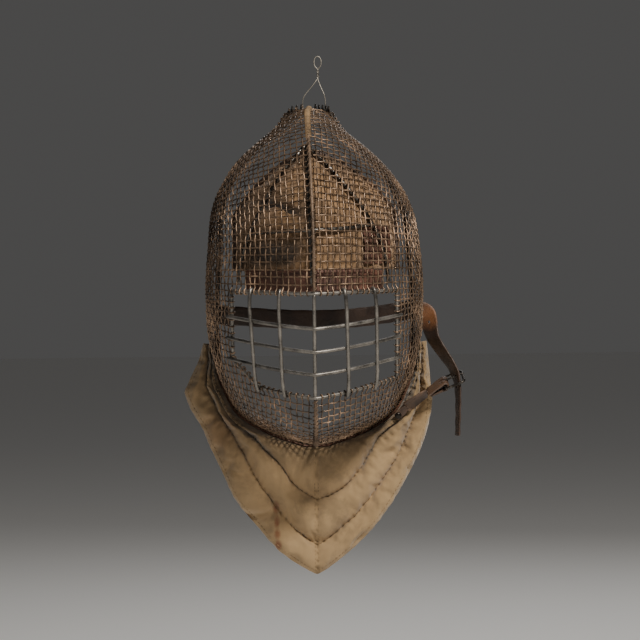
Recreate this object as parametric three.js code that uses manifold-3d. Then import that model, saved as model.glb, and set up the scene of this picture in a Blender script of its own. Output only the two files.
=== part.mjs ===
import * as THREE from 'three';
import { mergeVertices } from 'three/addons/utils/BufferGeometryUtils.js';
import Module from 'manifold-3d';

// Old fencing mask of woven wire with a barred visor and a quilted canvas bib,
// hanging by its crown from a loop of wire. Millimetres.
// X runs to the right of the front view, Y back to the wall, Z up.
// The origin is the top of the hanging wire's eye.

// Wire cloth shell
const MESH_HEIGHT = 333;
const MESH_HALF_WIDTH = 105.4;
const MESH_DEPTH = 170;
const CROWN_DROP = 52;
const CROWN_FORWARD = 4;
const CHIN_FORWARD = 11;
const KEEL_CREASE = 0.3;
const CREASE_ROUND = 12;
const NET_WALL = 2;
const NET_BAR = 5;
const SEAM_WIDTH = 5;
const SEAM_WALL = 3;

// Rim
const RIM_RADIUS = 1.8;
const BINDING_WALL = 1.5;
const BINDING_TOP = 246;
const BINDING_MOUTH = 1.05;
const RIM_STEPS = 34;

// Barred visor
const VISOR_BAR_RADIUS = 1.7;
const VISOR_HALF_WIDTH = 78;
const VISOR_TOP = 187;
const VISOR_BOTTOM = 284;
const VISOR_CUT_LENGTH = 21;
const VISOR_CUT_WIDTH = 26;
const BAR_STAND = 3.1;
const BAR_LAP = 2.6;
const BAR_TAIL = 3;

// Iron ribs and pads inside the crown
const RIB_RADIUS = 1.5;
const RIB_CLEAR = 1.9;
const PAD_CLEAR = 1.3;
const PAD_WALL = 9;
const PAD_EDGE_WALL = 3;
const PAD_FALL = 6;
const BROW_WALL = 2.5;
const BROW_WIDTH = 19;
const BROW_HALF = 0.66;

// Bib
const BIB_REACH = 215.5;
const BIB_CENTRE_DROP = 248;
const BIB_SEAM_WALL = 4;
const BIB_PUFF = 10;
const BIB_EDGE_WALL = 5;
const BIB_HANG_BACK = 8;

// Strap, buckle and rivets
const STRAP_WIDTH = 19;
const STRAP_WALL = 2.5;
const BUCKLE_LENGTH = 20;
const BUCKLE_WIDTH = 26;
const BUCKLE_RADIUS = 1.4;
const TONGUE_RADIUS = 0.9;
const TONGUE_RING_START = 150;
const RIVET_HEAD_RADIUS = 3.2;
const RIVET_SHANK_RADIUS = 1.3;
const RIVET_HEAD_HEIGHT = 1.6;

// Hanging wire
const EYE_OFFSET = 5.5;
const WIRE_RADIUS = 0.55;
const EYE_RADIUS = 6.5;
const EYE_NARROWING = 0.6;
const EYE_START = -70;
const EYE_END = 250;
const HOOK_TURN = 100;

// Clearance between pieces that touch
const FIT = 0.3;

// Cross sections of the wire cloth, from the crown's edge down the keel to the chin's edge.
// drop: keel height below the crown's edge, and lift: rise of the section towards the rim,
// both shares of MESH_HEIGHT. depth: keel in front of the crown's edge, share of MESH_DEPTH.
// half: greatest half width, share of MESH_HALF_WIDTH. wrap: degrees from keel to rim.
const SECTIONS = [
  { drop: 0, depth: 0, lift: -0.009, half: 0.18, wrap: 90, lean: -0.032 },
  { drop: 0.024, depth: 0.27, lift: -0.06, half: 0.36, wrap: 100, lean: -0.047 },
  { drop: 0.069, depth: 0.506, lift: -0.069, half: 0.564, wrap: 107, lean: -0.043 },
  { drop: 0.138, depth: 0.712, lift: -0.078, half: 0.776, wrap: 110, lean: -0.032 },
  { drop: 0.228, depth: 0.859, lift: -0.054, half: 0.888, wrap: 112, lean: -0.02 },
  { drop: 0.339, depth: 0.953, lift: -0.018, half: 0.954, wrap: 114, lean: -0.007 },
  { drop: 0.459, depth: 0.994, lift: 0.006, half: 0.982, wrap: 115, lean: 0.001 },
  { drop: 0.562, depth: 1, lift: 0.02, half: 1, wrap: 115, lean: 0 },
  { drop: 0.655, depth: 0.95, lift: 0.06, half: 0.996, wrap: 114, lean: 0 },
  { drop: 0.745, depth: 0.9, lift: 0.069, half: 0.98, wrap: 110, lean: 0 },
  { drop: 0.85, depth: 0.841, lift: 0.072, half: 0.911, wrap: 101, lean: 0 },
  { drop: 0.91, depth: 0.776, lift: 0.07, half: 0.83, wrap: 94, lean: 0 },
  { drop: 0.961, depth: 0.647, lift: 0.063, half: 0.73, wrap: 90, lean: 0 },
  { drop: 0.988, depth: 0.459, lift: 0.045, half: 0.54, wrap: 90, lean: 0 },
  { drop: 0.997, depth: 0.27, lift: 0.024, half: 0.332, wrap: 90, lean: 0 },
  { drop: 1, depth: 0.065, lift: 0.003, half: 0.1, wrap: 90, lean: 0 }
];

// Gaps of the pierced net: rows above, beside and below the visor, columns out to the rim.
const ROWS_ABOVE = 6;
const ROWS_BESIDE = 3;
const ROWS_BELOW = 4;
const COLUMNS_INNER = 2;
const COLUMNS_OUTER = 3;
const WINDOW_SHARE = 0.64;
const NARROW_BAR_SHARE = 1 / 14;
const NARROW_START_SHARE = 1 / 6;

// Upright visor bars: place at the top and foot, shares of VISOR_HALF_WIDTH.
// front: 1 where the bar lies over the cross bars, -1 where it lies behind them.
const UPRIGHT_BARS = [
  { top: -0.737, foot: -0.67, front: 1 },
  { top: -0.39, foot: -0.346, front: 1 },
  { top: 0, foot: 0, front: -1 },
  { top: 0.345, foot: 0.368, front: 1 },
  { top: 0.695, foot: 0.705, front: 1 }
];

// Cross bars of the visor: keel height, share of the visor's height from its top.
const CROSS_BARS = [0.325, 0.548, 0.765];

// Iron ribs under the wire cloth. down: place along the keel, share of the keel from the
// crown's edge to the visor. across: share of MESH_HALF_WIDTH.
const CENTRE_RIB = [
  { down: 0.435, across: -0.03 }, { down: 0.6, across: -0.03 },
  { down: 0.8, across: -0.03 }, { down: 0.975, across: -0.02 }
];
const RIGHT_RIB = [
  { down: 0.435, across: -0.03 }, { down: 0.49, across: 0.08 }, { down: 0.56, across: 0.23 },
  { down: 0.66, across: 0.42 },
  { down: 0.76, across: 0.56 }, { down: 0.86, across: 0.66 }, { down: 0.975, across: 0.7 }
];
const LEFT_RIB = [
  { down: 0.435, across: -0.03 }, { down: 0.49, across: -0.14 }, { down: 0.56, across: -0.28 },
  { down: 0.66, across: -0.43 },
  { down: 0.76, across: -0.56 }, { down: 0.86, across: -0.66 }, { down: 0.975, across: -0.72 }
];
const CROSS_RIB = [
  { down: 0.79, across: -0.58 }, { down: 0.79, across: -0.3 }, { down: 0.79, across: 0 },
  { down: 0.78, across: 0.3 }, { down: 0.76, across: 0.55 }
];

// Crown pad, a row for each column from left to right: upper and lower edge along the keel.
const PAD_COLUMNS = [
  { across: -0.78, top: 0.71, foot: 0.9245 }, { across: -0.6, top: 0.6, foot: 0.9245 },
  { across: -0.4, top: 0.525, foot: 0.9245 }, { across: -0.2, top: 0.475, foot: 0.9245 },
  { across: 0, top: 0.456, foot: 0.9245 }, { across: 0.2, top: 0.466, foot: 0.9245 },
  { across: 0.4, top: 0.495, foot: 0.9245 }, { across: 0.6, top: 0.555, foot: 0.9245 },
  { across: 0.82, top: 0.68, foot: 0.9245 }
];

// Bib, a row for each turn in degrees from straight down. left and right: outline, share of
// BIB_REACH. a: outer seam and b: inner seam, shares of the way from the rim to the outline.
const BIB_TURNS = [
  { turn: 0, left: 1, right: 1, aLeft: 0.77, aRight: 0.77, bLeft: 0.41, bRight: 0.41 },
  { turn: 10, left: 0.914, right: 0.9, aLeft: 0.7, aRight: 0.745, bLeft: 0.35, bRight: 0.42 },
  { turn: 20, left: 0.817, right: 0.812, aLeft: 0.63, aRight: 0.713, bLeft: 0.26, bRight: 0.375 },
  { turn: 30, left: 0.749, right: 0.735, aLeft: 0.54, aRight: 0.676, bLeft: 0.2, bRight: 0.273 },
  { turn: 40, left: 0.677, right: 0.677, aLeft: 0.46, aRight: 0.633, bLeft: 0.15, bRight: 0.17 },
  { turn: 50, left: 0.636, right: 0.636, aLeft: 0.38, aRight: 0.54, bLeft: 0.12, bRight: 0.13 },
  { turn: 60, left: 0.613, right: 0.601, aLeft: 0.34, aRight: 0.486, bLeft: 0.1, bRight: 0.11 },
  { turn: 70, left: 0.622, right: 0.566, aLeft: 0.32, aRight: 0.47, bLeft: 0.1, bRight: 0.1 },
  { turn: 75, left: 0.624, right: 0.55, aLeft: 0.32, aRight: 0.44, bLeft: 0.1, bRight: 0.1 },
  { turn: 80, left: 0.59, right: 0.536, aLeft: 0.32, aRight: 0.4, bLeft: 0.1, bRight: 0.1 },
  { turn: 90, left: 0.534, right: 0.521, aLeft: 0.36, aRight: 0.38, bLeft: 0.1, bRight: 0.1 },
  { turn: 98, left: 0.518, right: 0.518, aLeft: 0.4, aRight: 0.4, bLeft: 0.12, bRight: 0.12 }
];
const BIB_FAN = 28;

// Strap routes. across: share of MESH_HALF_WIDTH. drop: below the crown's edge, share of
// MESH_HEIGHT. forward: of the crown's edge, share of MESH_DEPTH. turn: degrees that the
// face is turned away from the front. wide: share of STRAP_WIDTH.
const NAPE_ROUTE = [
  { across: -1, drop: 0.615, forward: 0.0175, turn: 0, wide: 1 },
  { across: -0.9, drop: 0.616, forward: 0.0172, turn: 0, wide: 1 },
  { across: -0.7, drop: 0.62, forward: -0.012, turn: 0, wide: 1 },
  { across: -0.38, drop: 0.628, forward: -0.035, turn: 0, wide: 1 },
  { across: 0, drop: 0.632, forward: -0.043, turn: 0, wide: 1 },
  { across: 0.38, drop: 0.628, forward: -0.035, turn: 0, wide: 1 },
  { across: 0.7, drop: 0.616, forward: -0.012, turn: 0, wide: 1 },
  { across: 0.93, drop: 0.606, forward: 0.002, turn: 2, wide: 1 },
  { across: 1.04, drop: 0.616, forward: 0.012, turn: 12, wide: 1 },
  { across: 1.075, drop: 0.638, forward: 0.02, turn: 34, wide: 1 },
  { across: 1.09, drop: 0.668, forward: 0.032, turn: 44, wide: 1 },
  { across: 1.127, drop: 0.7, forward: 0.05, turn: 54, wide: 1 },
  { across: 1.212, drop: 0.742, forward: 0.084, turn: 60, wide: 1 },
  { across: 1.285, drop: 0.78, forward: 0.112, turn: 67, wide: 1 },
  { across: 1.318, drop: 0.812, forward: 0.124, turn: 72, wide: 1 },
  { across: 1.33, drop: 0.847, forward: 0.128, turn: 78, wide: 1 },
  { across: 1.33, drop: 0.91, forward: 0.128, turn: 81, wide: 1 },
  { across: 1.322, drop: 0.978, forward: 0.128, turn: 82, wide: 0.94 }
];
const JAW_ROUTE = [
  { across: 0.755, drop: 0.922, forward: 0.118, turn: 4, wide: 0.42 },
  { across: 0.805, drop: 0.907, forward: 0.121, turn: 10, wide: 0.42 },
  { across: 0.852, drop: 0.892, forward: 0.133, turn: 36, wide: 0.42 },
  { across: 0.868, drop: 0.889, forward: 0.14, turn: 50, wide: 0.85 },
  { across: 0.95, drop: 0.871, forward: 0.147, turn: 61, wide: 1 },
  { across: 1.065, drop: 0.848, forward: 0.134, turn: 66, wide: 1 }
];
const BUCKLE_PLACE = { across: 1.29, drop: 0.8145, forward: 0.125 };
const BUCKLE_RUN = new THREE.Vector3(0.93, 0, 0.36);
const BUCKLE_ACROSS = new THREE.Vector3(0.05, -0.92, -0.38);
const JAW_RETURN = 16;

// Hanging wire's legs from the eye to the crown's edge, in shares like the strap routes.
const WIRE_LEGS = [
  [{ across: 0.052, drop: -0.1 }, { across: 0.01, drop: -0.07 }, { across: -0.085, drop: -0.03 }],
  [{ across: 0.052, drop: -0.1 }, { across: 0.07, drop: -0.07 }, { across: 0.118, drop: -0.03 }]
];

// Steps that the curved pieces are cut into
const SECTION_STEPS = 36;
const SEARCH_STEPS = 40;
const KEEL_SEAM_STEPS = 24;
const CHIN_SEAM_STEPS = 14;
const PAD_ROWS = 9;
const PAD_COLUMN_STEPS = 12;
const BROW_STEPS = 14;
const NAPE_STEPS = 48;
const JAW_STEPS = 18;
const ROD_SIDES = 6;
const FINE_SIDES = 8;
const RIVET_SIDES = 12;

const DEGREE = Math.PI / 180;
const UP = new THREE.Vector3(0, 0, 1);
const RIGHT = new THREE.Vector3(1, 0, 0);
const BACK = new THREE.Vector3(0, 1, 0);

const wasm = await Module();
wasm.setup();

// Interpolation

// Smooth curve through table values that never overshoots them.
function smoothTable(places, values) {
  const slopes = places.slice(1).map((place, i) => {
    return (values[i + 1] - values[i]) / (place - places[i]);
  });
  const tangents = values.map((_, i) => {
    if (i === 0) return slopes[0];
    if (i === values.length - 1) return slopes[i - 1];
    if (slopes[i - 1] * slopes[i] <= 0) return 0;
    return 2 * slopes[i - 1] * slopes[i] / (slopes[i - 1] + slopes[i]);
  });
  return (place) => {
    const inside = Math.min(Math.max(place, places[0]), places[places.length - 1]);
    let i = 0;
    while (i < places.length - 2 && inside > places[i + 1]) i += 1;
    const span = places[i + 1] - places[i];
    const t = (inside - places[i]) / span;
    const rest = 1 - t;
    return values[i] * rest * rest * (1 + 2 * t) + values[i + 1] * t * t * (3 - 2 * t)
      + span * t * rest * (tangents[i] * rest - tangents[i + 1] * t);
  };
}

function tableCurves(rows, key, names) {
  const places = rows.map((row) => row[key]);
  const curves = {};
  for (const name of names) curves[name] = smoothTable(places, rows.map((row) => row[name]));
  return curves;
}

function spread(start, end, steps) {
  return Array.from({ length: steps + 1 }, (_, i) => start + (end - start) * i / steps);
}

// Surface of the wire cloth

const keelRows = SECTIONS.map((section) => ({ ...section, at: 0 }));
for (let i = 1; i < keelRows.length; i += 1) {
  const fall = (keelRows[i].drop - keelRows[i - 1].drop) * MESH_HEIGHT;
  const run = (keelRows[i].depth - keelRows[i - 1].depth) * MESH_DEPTH;
  keelRows[i].at = keelRows[i - 1].at + Math.hypot(fall, run);
}
const KEEL_LENGTH = keelRows[keelRows.length - 1].at;
const sectionCurves = tableCurves(keelRows, 'at', ['drop', 'depth', 'lift', 'half', 'wrap', 'lean']);

function sectionAt(along) {
  const share = along / KEEL_LENGTH;
  return {
    keelY: -CROWN_FORWARD - sectionCurves.depth(along) * MESH_DEPTH,
    rimY: -CROWN_FORWARD - share * CHIN_FORWARD,
    keelZ: -CROWN_DROP - sectionCurves.drop(along) * MESH_HEIGHT,
    lean: sectionCurves.lean(along) * MESH_HALF_WIDTH,
    lift: sectionCurves.lift(along) * MESH_HEIGHT,
    half: sectionCurves.half(along) * MESH_HALF_WIDTH,
    wrap: sectionCurves.wrap(along) * DEGREE
  };
}

function inwardShare(angle) {
  return (1 - KEEL_CREASE) * (1 - Math.cos(angle)) + KEEL_CREASE * Math.sin(angle);
}

// Point of the cloth's middle surface. angle runs from 0 at the keel to wrap at the rim.
function clothPoint(along, angle, side) {
  const section = sectionAt(along);
  const share = inwardShare(angle) / inwardShare(section.wrap);
  return new THREE.Vector3(
    side * section.half * Math.sin(angle) + section.lean,
    section.keelY + share * (section.rimY - section.keelY),
    section.keelZ + section.lift * share * (2 - share)
  );
}

function clothNormal(along, angle, side) {
  const step = 0.5;
  const turn = 0.02;
  const before = Math.max(along - step, 0);
  const after = Math.min(along + step, KEEL_LENGTH);
  const wrap = sectionAt(along).wrap;
  const inner = Math.max(angle - turn, 0);
  const outer = Math.min(angle + turn, wrap);
  const down = clothPoint(after, angle, side).sub(clothPoint(before, angle, side));
  const out = clothPoint(along, outer, side).sub(clothPoint(along, inner, side));
  return down.cross(out).multiplyScalar(side).normalize();
}

function clothOffset(along, angle, side, offset) {
  return clothPoint(along, angle, side).addScaledVector(clothNormal(along, angle, side), offset);
}

function angleAcross(along, across) {
  return Math.asin(Math.min(Math.abs(across) / sectionAt(along).half, 1));
}

// Point beside the cloth at a place across it. The crease is rounded off near the keel.
function pointAcross(along, across, offset) {
  const side = across < 0 ? -1 : 1;
  const angle = angleAcross(along, across);
  const normal = clothNormal(along, angle, side);
  normal.x *= Math.min(Math.abs(across) / CREASE_ROUND, 1);
  return clothPoint(along, angle, side).addScaledVector(normal.normalize(), offset);
}

// Keel length at which the keel has fallen by drop below the crown's edge.
function keelAtDrop(drop) {
  let low = 0;
  let high = KEEL_LENGTH;
  for (let i = 0; i < SEARCH_STEPS; i += 1) {
    const middle = (low + high) / 2;
    if (sectionCurves.drop(middle) * MESH_HEIGHT < drop) low = middle;
    else high = middle;
  }
  return low;
}

// Angle at which a section's length from the keel reaches the length asked for.
function anglesAtLengths(along, side, lengths) {
  const steps = SECTION_STEPS;
  const angles = spread(0, sectionAt(along).wrap, steps);
  const points = angles.map((angle) => clothPoint(along, angle, side));
  const sums = [0];
  for (let i = 1; i <= steps; i += 1) sums.push(sums[i - 1] + points[i].distanceTo(points[i - 1]));
  return lengths(sums[steps]).map((length) => {
    let i = 0;
    while (i < steps - 1 && sums[i + 1] < length) i += 1;
    return angles[i] + (angles[i + 1] - angles[i]) * (length - sums[i]) / (sums[i + 1] - sums[i]);
  });
}

function lengthToAngle(along, side, angle) {
  let sum = 0;
  let last = clothPoint(along, 0, side);
  for (const place of spread(0, angle, SECTION_STEPS).slice(1)) {
    const next = clothPoint(along, place, side);
    sum += next.distanceTo(last);
    last = next;
  }
  return sum;
}

// Closed solids from points

function solidFrom(triangles) {
  let volume = 0;
  for (const [a, b, c] of triangles) volume += a.dot(b.clone().cross(c));
  const order = volume < 0 ? [0, 2, 1] : [0, 1, 2];
  const positions = triangles.flatMap((corners) => order.flatMap((i) => corners[i].toArray()));
  const geometry = new THREE.BufferGeometry();
  geometry.setAttribute('position', new THREE.Float32BufferAttribute(positions, 3));
  return geometry;
}

// Wall between two grids of points, cut through wherever kept says no.
function gridSolid(front, back, kept) {
  const rows = front.length - 1;
  const columns = front[0].length - 1;
  const triangles = [];
  const isKept = (i, j) => i >= 0 && j >= 0 && i < rows && j < columns && kept(i, j);
  const quad = (a, b, c, d) => triangles.push([a, b, c], [a, c, d]);
  for (let i = 0; i < rows; i += 1) {
    for (let j = 0; j < columns; j += 1) {
      if (!isKept(i, j)) continue;
      const corners = [[i, j], [i + 1, j], [i + 1, j + 1], [i, j + 1]];
      const beyond = [[i, j - 1], [i + 1, j], [i, j + 1], [i - 1, j]];
      quad(...corners.map(([r, c]) => front[r][c]));
      quad(...corners.map(([r, c]) => back[r][c]).reverse());
      corners.forEach(([r, c], k) => {
        const [nextRow, nextColumn] = corners[(k + 1) % 4];
        if (isKept(...beyond[k])) return;
        quad(front[nextRow][nextColumn], front[r][c], back[r][c], back[nextRow][nextColumn]);
      });
    }
  }
  return solidFrom(triangles);
}

// Skin over a row of sections with the same number of points, capped unless it is a loop.
function loft(rings, closed) {
  const triangles = [];
  const count = rings[0].length;
  const last = closed ? rings.length : rings.length - 1;
  for (let i = 0; i < last; i += 1) {
    const here = rings[i];
    const next = rings[(i + 1) % rings.length];
    for (let j = 0; j < count; j += 1) {
      const k = (j + 1) % count;
      triangles.push([here[j], here[k], next[k]], [here[j], next[k], next[j]]);
    }
  }
  if (!closed) {
    for (const [ring, flip] of [[rings[0], true], [rings[rings.length - 1], false]]) {
      for (const face of capFaces(ring)) {
        const corners = face.map((i) => ring[i]);
        triangles.push(flip ? corners.reverse() : corners);
      }
    }
  }
  return solidFrom(triangles);
}

// Triangles over a flat ring of any shape, turned the way that the ring runs.
function capFaces(ring) {
  const centre = ring.reduce((sum, point) => sum.add(point), new THREE.Vector3());
  centre.divideScalar(ring.length);
  const normal = new THREE.Vector3();
  ring.forEach((point, i) => {
    const next = ring[(i + 1) % ring.length];
    normal.add(point.clone().sub(centre).cross(next.clone().sub(centre)));
  });
  normal.normalize();
  const first = ring[0].clone().sub(centre).normalize();
  const second = normal.clone().cross(first);
  const flat = ring.map((point) => {
    const from = point.clone().sub(centre);
    return new THREE.Vector2(from.dot(first), from.dot(second));
  });
  return THREE.ShapeUtils.triangulateShape(flat, []);
}

function tangentsOf(points, closed) {
  return points.map((_, i) => {
    const count = points.length;
    const before = closed ? points[(i + count - 1) % count] : points[Math.max(i - 1, 0)];
    const after = closed ? points[(i + 1) % count] : points[Math.min(i + 1, count - 1)];
    return after.clone().sub(before).normalize();
  });
}

// Round rod through points. reference is a direction that the path never follows.
function rod(points, radius, sides, reference, closed = false) {
  const tangents = tangentsOf(points, closed);
  const rings = points.map((point, i) => {
    const first = tangents[i].clone().cross(reference).normalize();
    const second = tangents[i].clone().cross(first);
    return spread(0, 2 * Math.PI, sides).slice(0, sides).map((angle) => {
      return point.clone()
        .addScaledVector(first, radius * Math.cos(angle))
        .addScaledVector(second, radius * Math.sin(angle));
    });
  });
  return loft(rings, closed);
}

function toManifold(geometry) {
  const bare = new THREE.BufferGeometry();
  bare.setAttribute('position', geometry.getAttribute('position'));
  const merged = mergeVertices(bare, 0.001);
  return new wasm.Manifold(new wasm.Mesh({
    numProp: 3,
    vertProperties: new Float32Array(merged.getAttribute('position').array),
    triVerts: new Uint32Array(merged.getIndex().array)
  }));
}

function fromManifold(solid) {
  const mesh = solid.getMesh();
  const geometry = new THREE.BufferGeometry();
  geometry.setAttribute('position', new THREE.BufferAttribute(mesh.vertProperties, 3));
  geometry.setIndex(new THREE.BufferAttribute(mesh.triVerts, 1));
  return geometry;
}

function fuse(geometries) {
  return fromManifold(geometries.map(toManifold).reduce((sum, solid) => sum.add(solid)));
}

// What is left of a solid, without the offcuts.
function cut(geometry, tools) {
  const rest = tools.map(toManifold).reduce((body, tool) => body.subtract(tool), toManifold(geometry));
  const pieces = rest.decompose().sort((a, b) => b.volume() - a.volume());
  return fromManifold(pieces[0]);
}

// Places that the pieces share

const VISOR_TOP_ALONG = keelAtDrop(VISOR_TOP);
const VISOR_BOTTOM_ALONG = keelAtDrop(VISOR_BOTTOM);
const CUT_ALONG = keelAtDrop(VISOR_BOTTOM - VISOR_CUT_LENGTH);
const RIM_CLEAR = RIM_RADIUS + FIT;
const VISOR_CLEAR = VISOR_BAR_RADIUS + FIT;

function visorHalfWidth(along, side) {
  if (side > 0 || along <= CUT_ALONG) return VISOR_HALF_WIDTH;
  const share = Math.min((along - CUT_ALONG) / (VISOR_BOTTOM_ALONG - CUT_ALONG), 1);
  return VISOR_HALF_WIDTH - share * VISOR_CUT_WIDTH;
}

// Angle of the line that bounds the visor's window, carried on above and below it.
function windowAngle(along, side) {
  const inside = Math.min(Math.max(along, VISOR_TOP_ALONG), VISOR_BOTTOM_ALONG);
  return angleAcross(inside, visorHalfWidth(inside, side));
}

// Places along the rim, down the right side, under the chin and up the left side.
function rimStations() {
  const side = (hand) => spread(0, KEEL_LENGTH, RIM_STEPS).map((along) => {
    return { along, angle: sectionAt(along).wrap, side: hand };
  });
  return [...side(1), { along: KEEL_LENGTH, angle: 0, side: 1 }, ...side(-1).reverse()];
}

function stationPoint({ along, angle, side }) {
  return clothPoint(along, angle, side);
}

// Point of the crown's edge at a place across it.
function crownEdge(across) {
  const keel = clothPoint(0, 0, 1);
  const corner = clothPoint(0, sectionAt(0).wrap, across < keel.x ? -1 : 1);
  return keel.clone().lerp(corner, (across - keel.x) / (corner.x - keel.x));
}

function rimPath() {
  return [...rimStations().map(stationPoint), clothPoint(0, 0, 1)];
}

// Pieces

function netHalf(side) {
  const edge = RIM_CLEAR + FIT;
  const span = (start, end, gaps, bar, closing) => {
    const pitch = (end - start - (closing ? bar : 0)) / gaps;
    const places = [];
    for (let i = 0; i < gaps; i += 1) {
      places.push({ at: start + i * pitch, open: false });
      places.push({ at: start + i * pitch + bar, open: true });
    }
    if (closing) places.push({ at: end - bar, open: false });
    return places;
  };
  const rowLines = [
    ...span(edge, VISOR_TOP_ALONG - VISOR_CLEAR, ROWS_ABOVE, NET_BAR, true),
    ...span(VISOR_TOP_ALONG - VISOR_CLEAR - NET_BAR, VISOR_BOTTOM_ALONG + VISOR_CLEAR,
      ROWS_BESIDE, NET_BAR, false).slice(1).map((line) => ({ ...line, beside: true })),
    ...span(VISOR_BOTTOM_ALONG + VISOR_CLEAR, KEEL_LENGTH - edge, ROWS_BELOW, NET_BAR, true),
    { at: KEEL_LENGTH - edge, open: false }
  ];
  const rows = rowLines.map((line) => {
    const window = lengthToAngle(line.at, side, windowAngle(line.at, side)) + VISOR_CLEAR;
    const places = [];
    const angles = anglesAtLengths(line.at, side, (total) => {
      const bar = Math.min(NET_BAR, total * NARROW_BAR_SHARE);
      const start = Math.min(SEAM_WIDTH / 2 + FIT, total * NARROW_START_SHARE);
      const inner = span(start, Math.min(window, total * WINDOW_SHARE), COLUMNS_INNER, bar, false);
      const outer = span(Math.min(window, total * WINDOW_SHARE), total - edge, COLUMNS_OUTER, bar, true);
      inner.forEach((place) => places.push({ ...place, inner: true }));
      outer.forEach((place, i) => {
        places.push(place);
        if (place.open) places.push({ at: (place.at + outer[i + 1].at) / 2, open: true });
      });
      places.push({ at: total - edge, open: false });
      return places.map((place) => place.at);
    });
    return { line, places, angles };
  });
  const layer = (offset) => rows.map(({ line, angles }) => {
    return angles.map((angle) => clothOffset(line.at, angle, side, offset));
  });
  const net = gridSolid(layer(NET_WALL / 2), layer(-NET_WALL / 2), (i, j) => {
    const { line, places } = rows[i];
    if (line.beside && places[j].inner) return false;
    return !(line.open && places[j].open);
  });
  return cut(net, [rod(rimPath(), RIM_CLEAR, ROD_SIDES, BACK, true), visorSide(side, VISOR_CLEAR)]);
}

// Upright side of the visor's frame, cut off at the left foot.
function visorSide(side, radius) {
  const alongs = [...spread(VISOR_TOP_ALONG, CUT_ALONG, 4), VISOR_BOTTOM_ALONG];
  return rod(alongs.map((along) => {
    return pointAcross(along, side * visorHalfWidth(along, side), 0);
  }), radius, ROD_SIDES, RIGHT);
}

// Flat strip that closes the cloth along the keel.
function seam(start, end, steps) {
  const rings = spread(start, end, steps).map((along) => {
    const half = Math.min(SEAM_WIDTH / 2, NARROW_START_SHARE
      * lengthToAngle(along, 1, sectionAt(along).wrap) - FIT);
    const angle = anglesAtLengths(along, 1, () => [half])[0];
    return [
      clothOffset(along, angle, 1, -SEAM_WALL / 2), clothOffset(along, angle, 1, SEAM_WALL / 2),
      clothOffset(along, angle, -1, SEAM_WALL / 2), clothOffset(along, angle, -1, -SEAM_WALL / 2)
    ];
  });
  return loft(rings, false);
}

function rimBinding() {
  const start = keelAtDrop(BINDING_TOP);
  const stations = rimStations().filter(({ along }) => along >= start);
  const points = stations.map(stationPoint);
  const tangents = tangentsOf(points, false);
  const inner = RIM_CLEAR + FIT;
  const outer = inner + BINDING_WALL;
  const rings = stations.map(({ along, angle, side }, i) => {
    const out = clothNormal(along, angle, side);
    const mouth = tangents[i].clone().cross(out).normalize();
    const upright = mouth.clone().cross(tangents[i]).normalize();
    const arc = (radius, turn) => points[i].clone()
      .addScaledVector(mouth, radius * Math.cos(turn))
      .addScaledVector(upright, radius * Math.sin(turn));
    const turns = spread(BINDING_MOUTH, 2 * Math.PI - BINDING_MOUTH, 6);
    return [...turns.map((turn) => arc(outer, turn)),
      ...turns.map((turn) => arc(inner, turn)).reverse()];
  });
  return loft(rings, false);
}

function visorGrille() {
  const bar = (points, reference) => rod(points, VISOR_BAR_RADIUS, ROD_SIDES, reference);
  const row = (along, left, right, offset) => {
    const leftSide = spread(-left, 0, 4).map((across) => pointAcross(along, across, offset));
    const rightSide = spread(0, right, 4).slice(1).map((across) => pointAcross(along, across, offset));
    return [...leftSide, ...rightSide];
  };
  const height = VISOR_BOTTOM - VISOR_TOP;
  const cross = CROSS_BARS.map((share) => {
    const along = keelAtDrop(VISOR_TOP + share * height);
    const end = VISOR_HALF_WIDTH + BAR_TAIL;
    return bar(row(along, end, end, BAR_STAND), UP);
  });
  const upright = UPRIGHT_BARS.map(({ top, foot, front }) => {
    const steps = 5;
    const points = spread(VISOR_TOP_ALONG, VISOR_BOTTOM_ALONG, steps).map((along, i) => {
      const across = (top + (foot - top) * i / steps) * VISOR_HALF_WIDTH;
      const end = i === 0 || i === steps;
      return pointAcross(along, across, (end ? 0 : BAR_STAND) + front * BAR_LAP);
    });
    return bar(points, RIGHT);
  });
  const sides = [1, -1].map((side) => visorSide(side, VISOR_BAR_RADIUS));
  const corner = VISOR_HALF_WIDTH - VISOR_CUT_WIDTH;
  const frame = [
    bar(row(VISOR_TOP_ALONG, VISOR_HALF_WIDTH, VISOR_HALF_WIDTH, 0), UP),
    bar(row(VISOR_BOTTOM_ALONG, corner, VISOR_HALF_WIDTH, 0), UP)
  ];
  return fuse([...frame, ...sides, ...cross, ...upright]);
}

// Rods that follow the inside of the cloth.
function crownRibs() {
  const offset = -(NET_WALL / 2 + RIB_CLEAR + RIB_RADIUS);
  const curve = (rows) => new THREE.CatmullRomCurve3(rows.map(({ down, across }) => {
    return pointAcross(down * VISOR_TOP_ALONG, across * MESH_HALF_WIDTH, offset);
  }), false, 'centripetal');
  const rib = (rows, steps, reference) => {
    return rod(curve(rows).getPoints(steps), RIB_RADIUS, ROD_SIDES, reference);
  };
  return fuse([
    rib(CENTRE_RIB, 9, RIGHT), rib(RIGHT_RIB, 12, new THREE.Vector3(1, -0.5, 0.6)),
    rib(LEFT_RIB, 12, new THREE.Vector3(-1, -0.5, 0.6)), rib(CROSS_RIB, 10, UP)
  ]);
}

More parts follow.
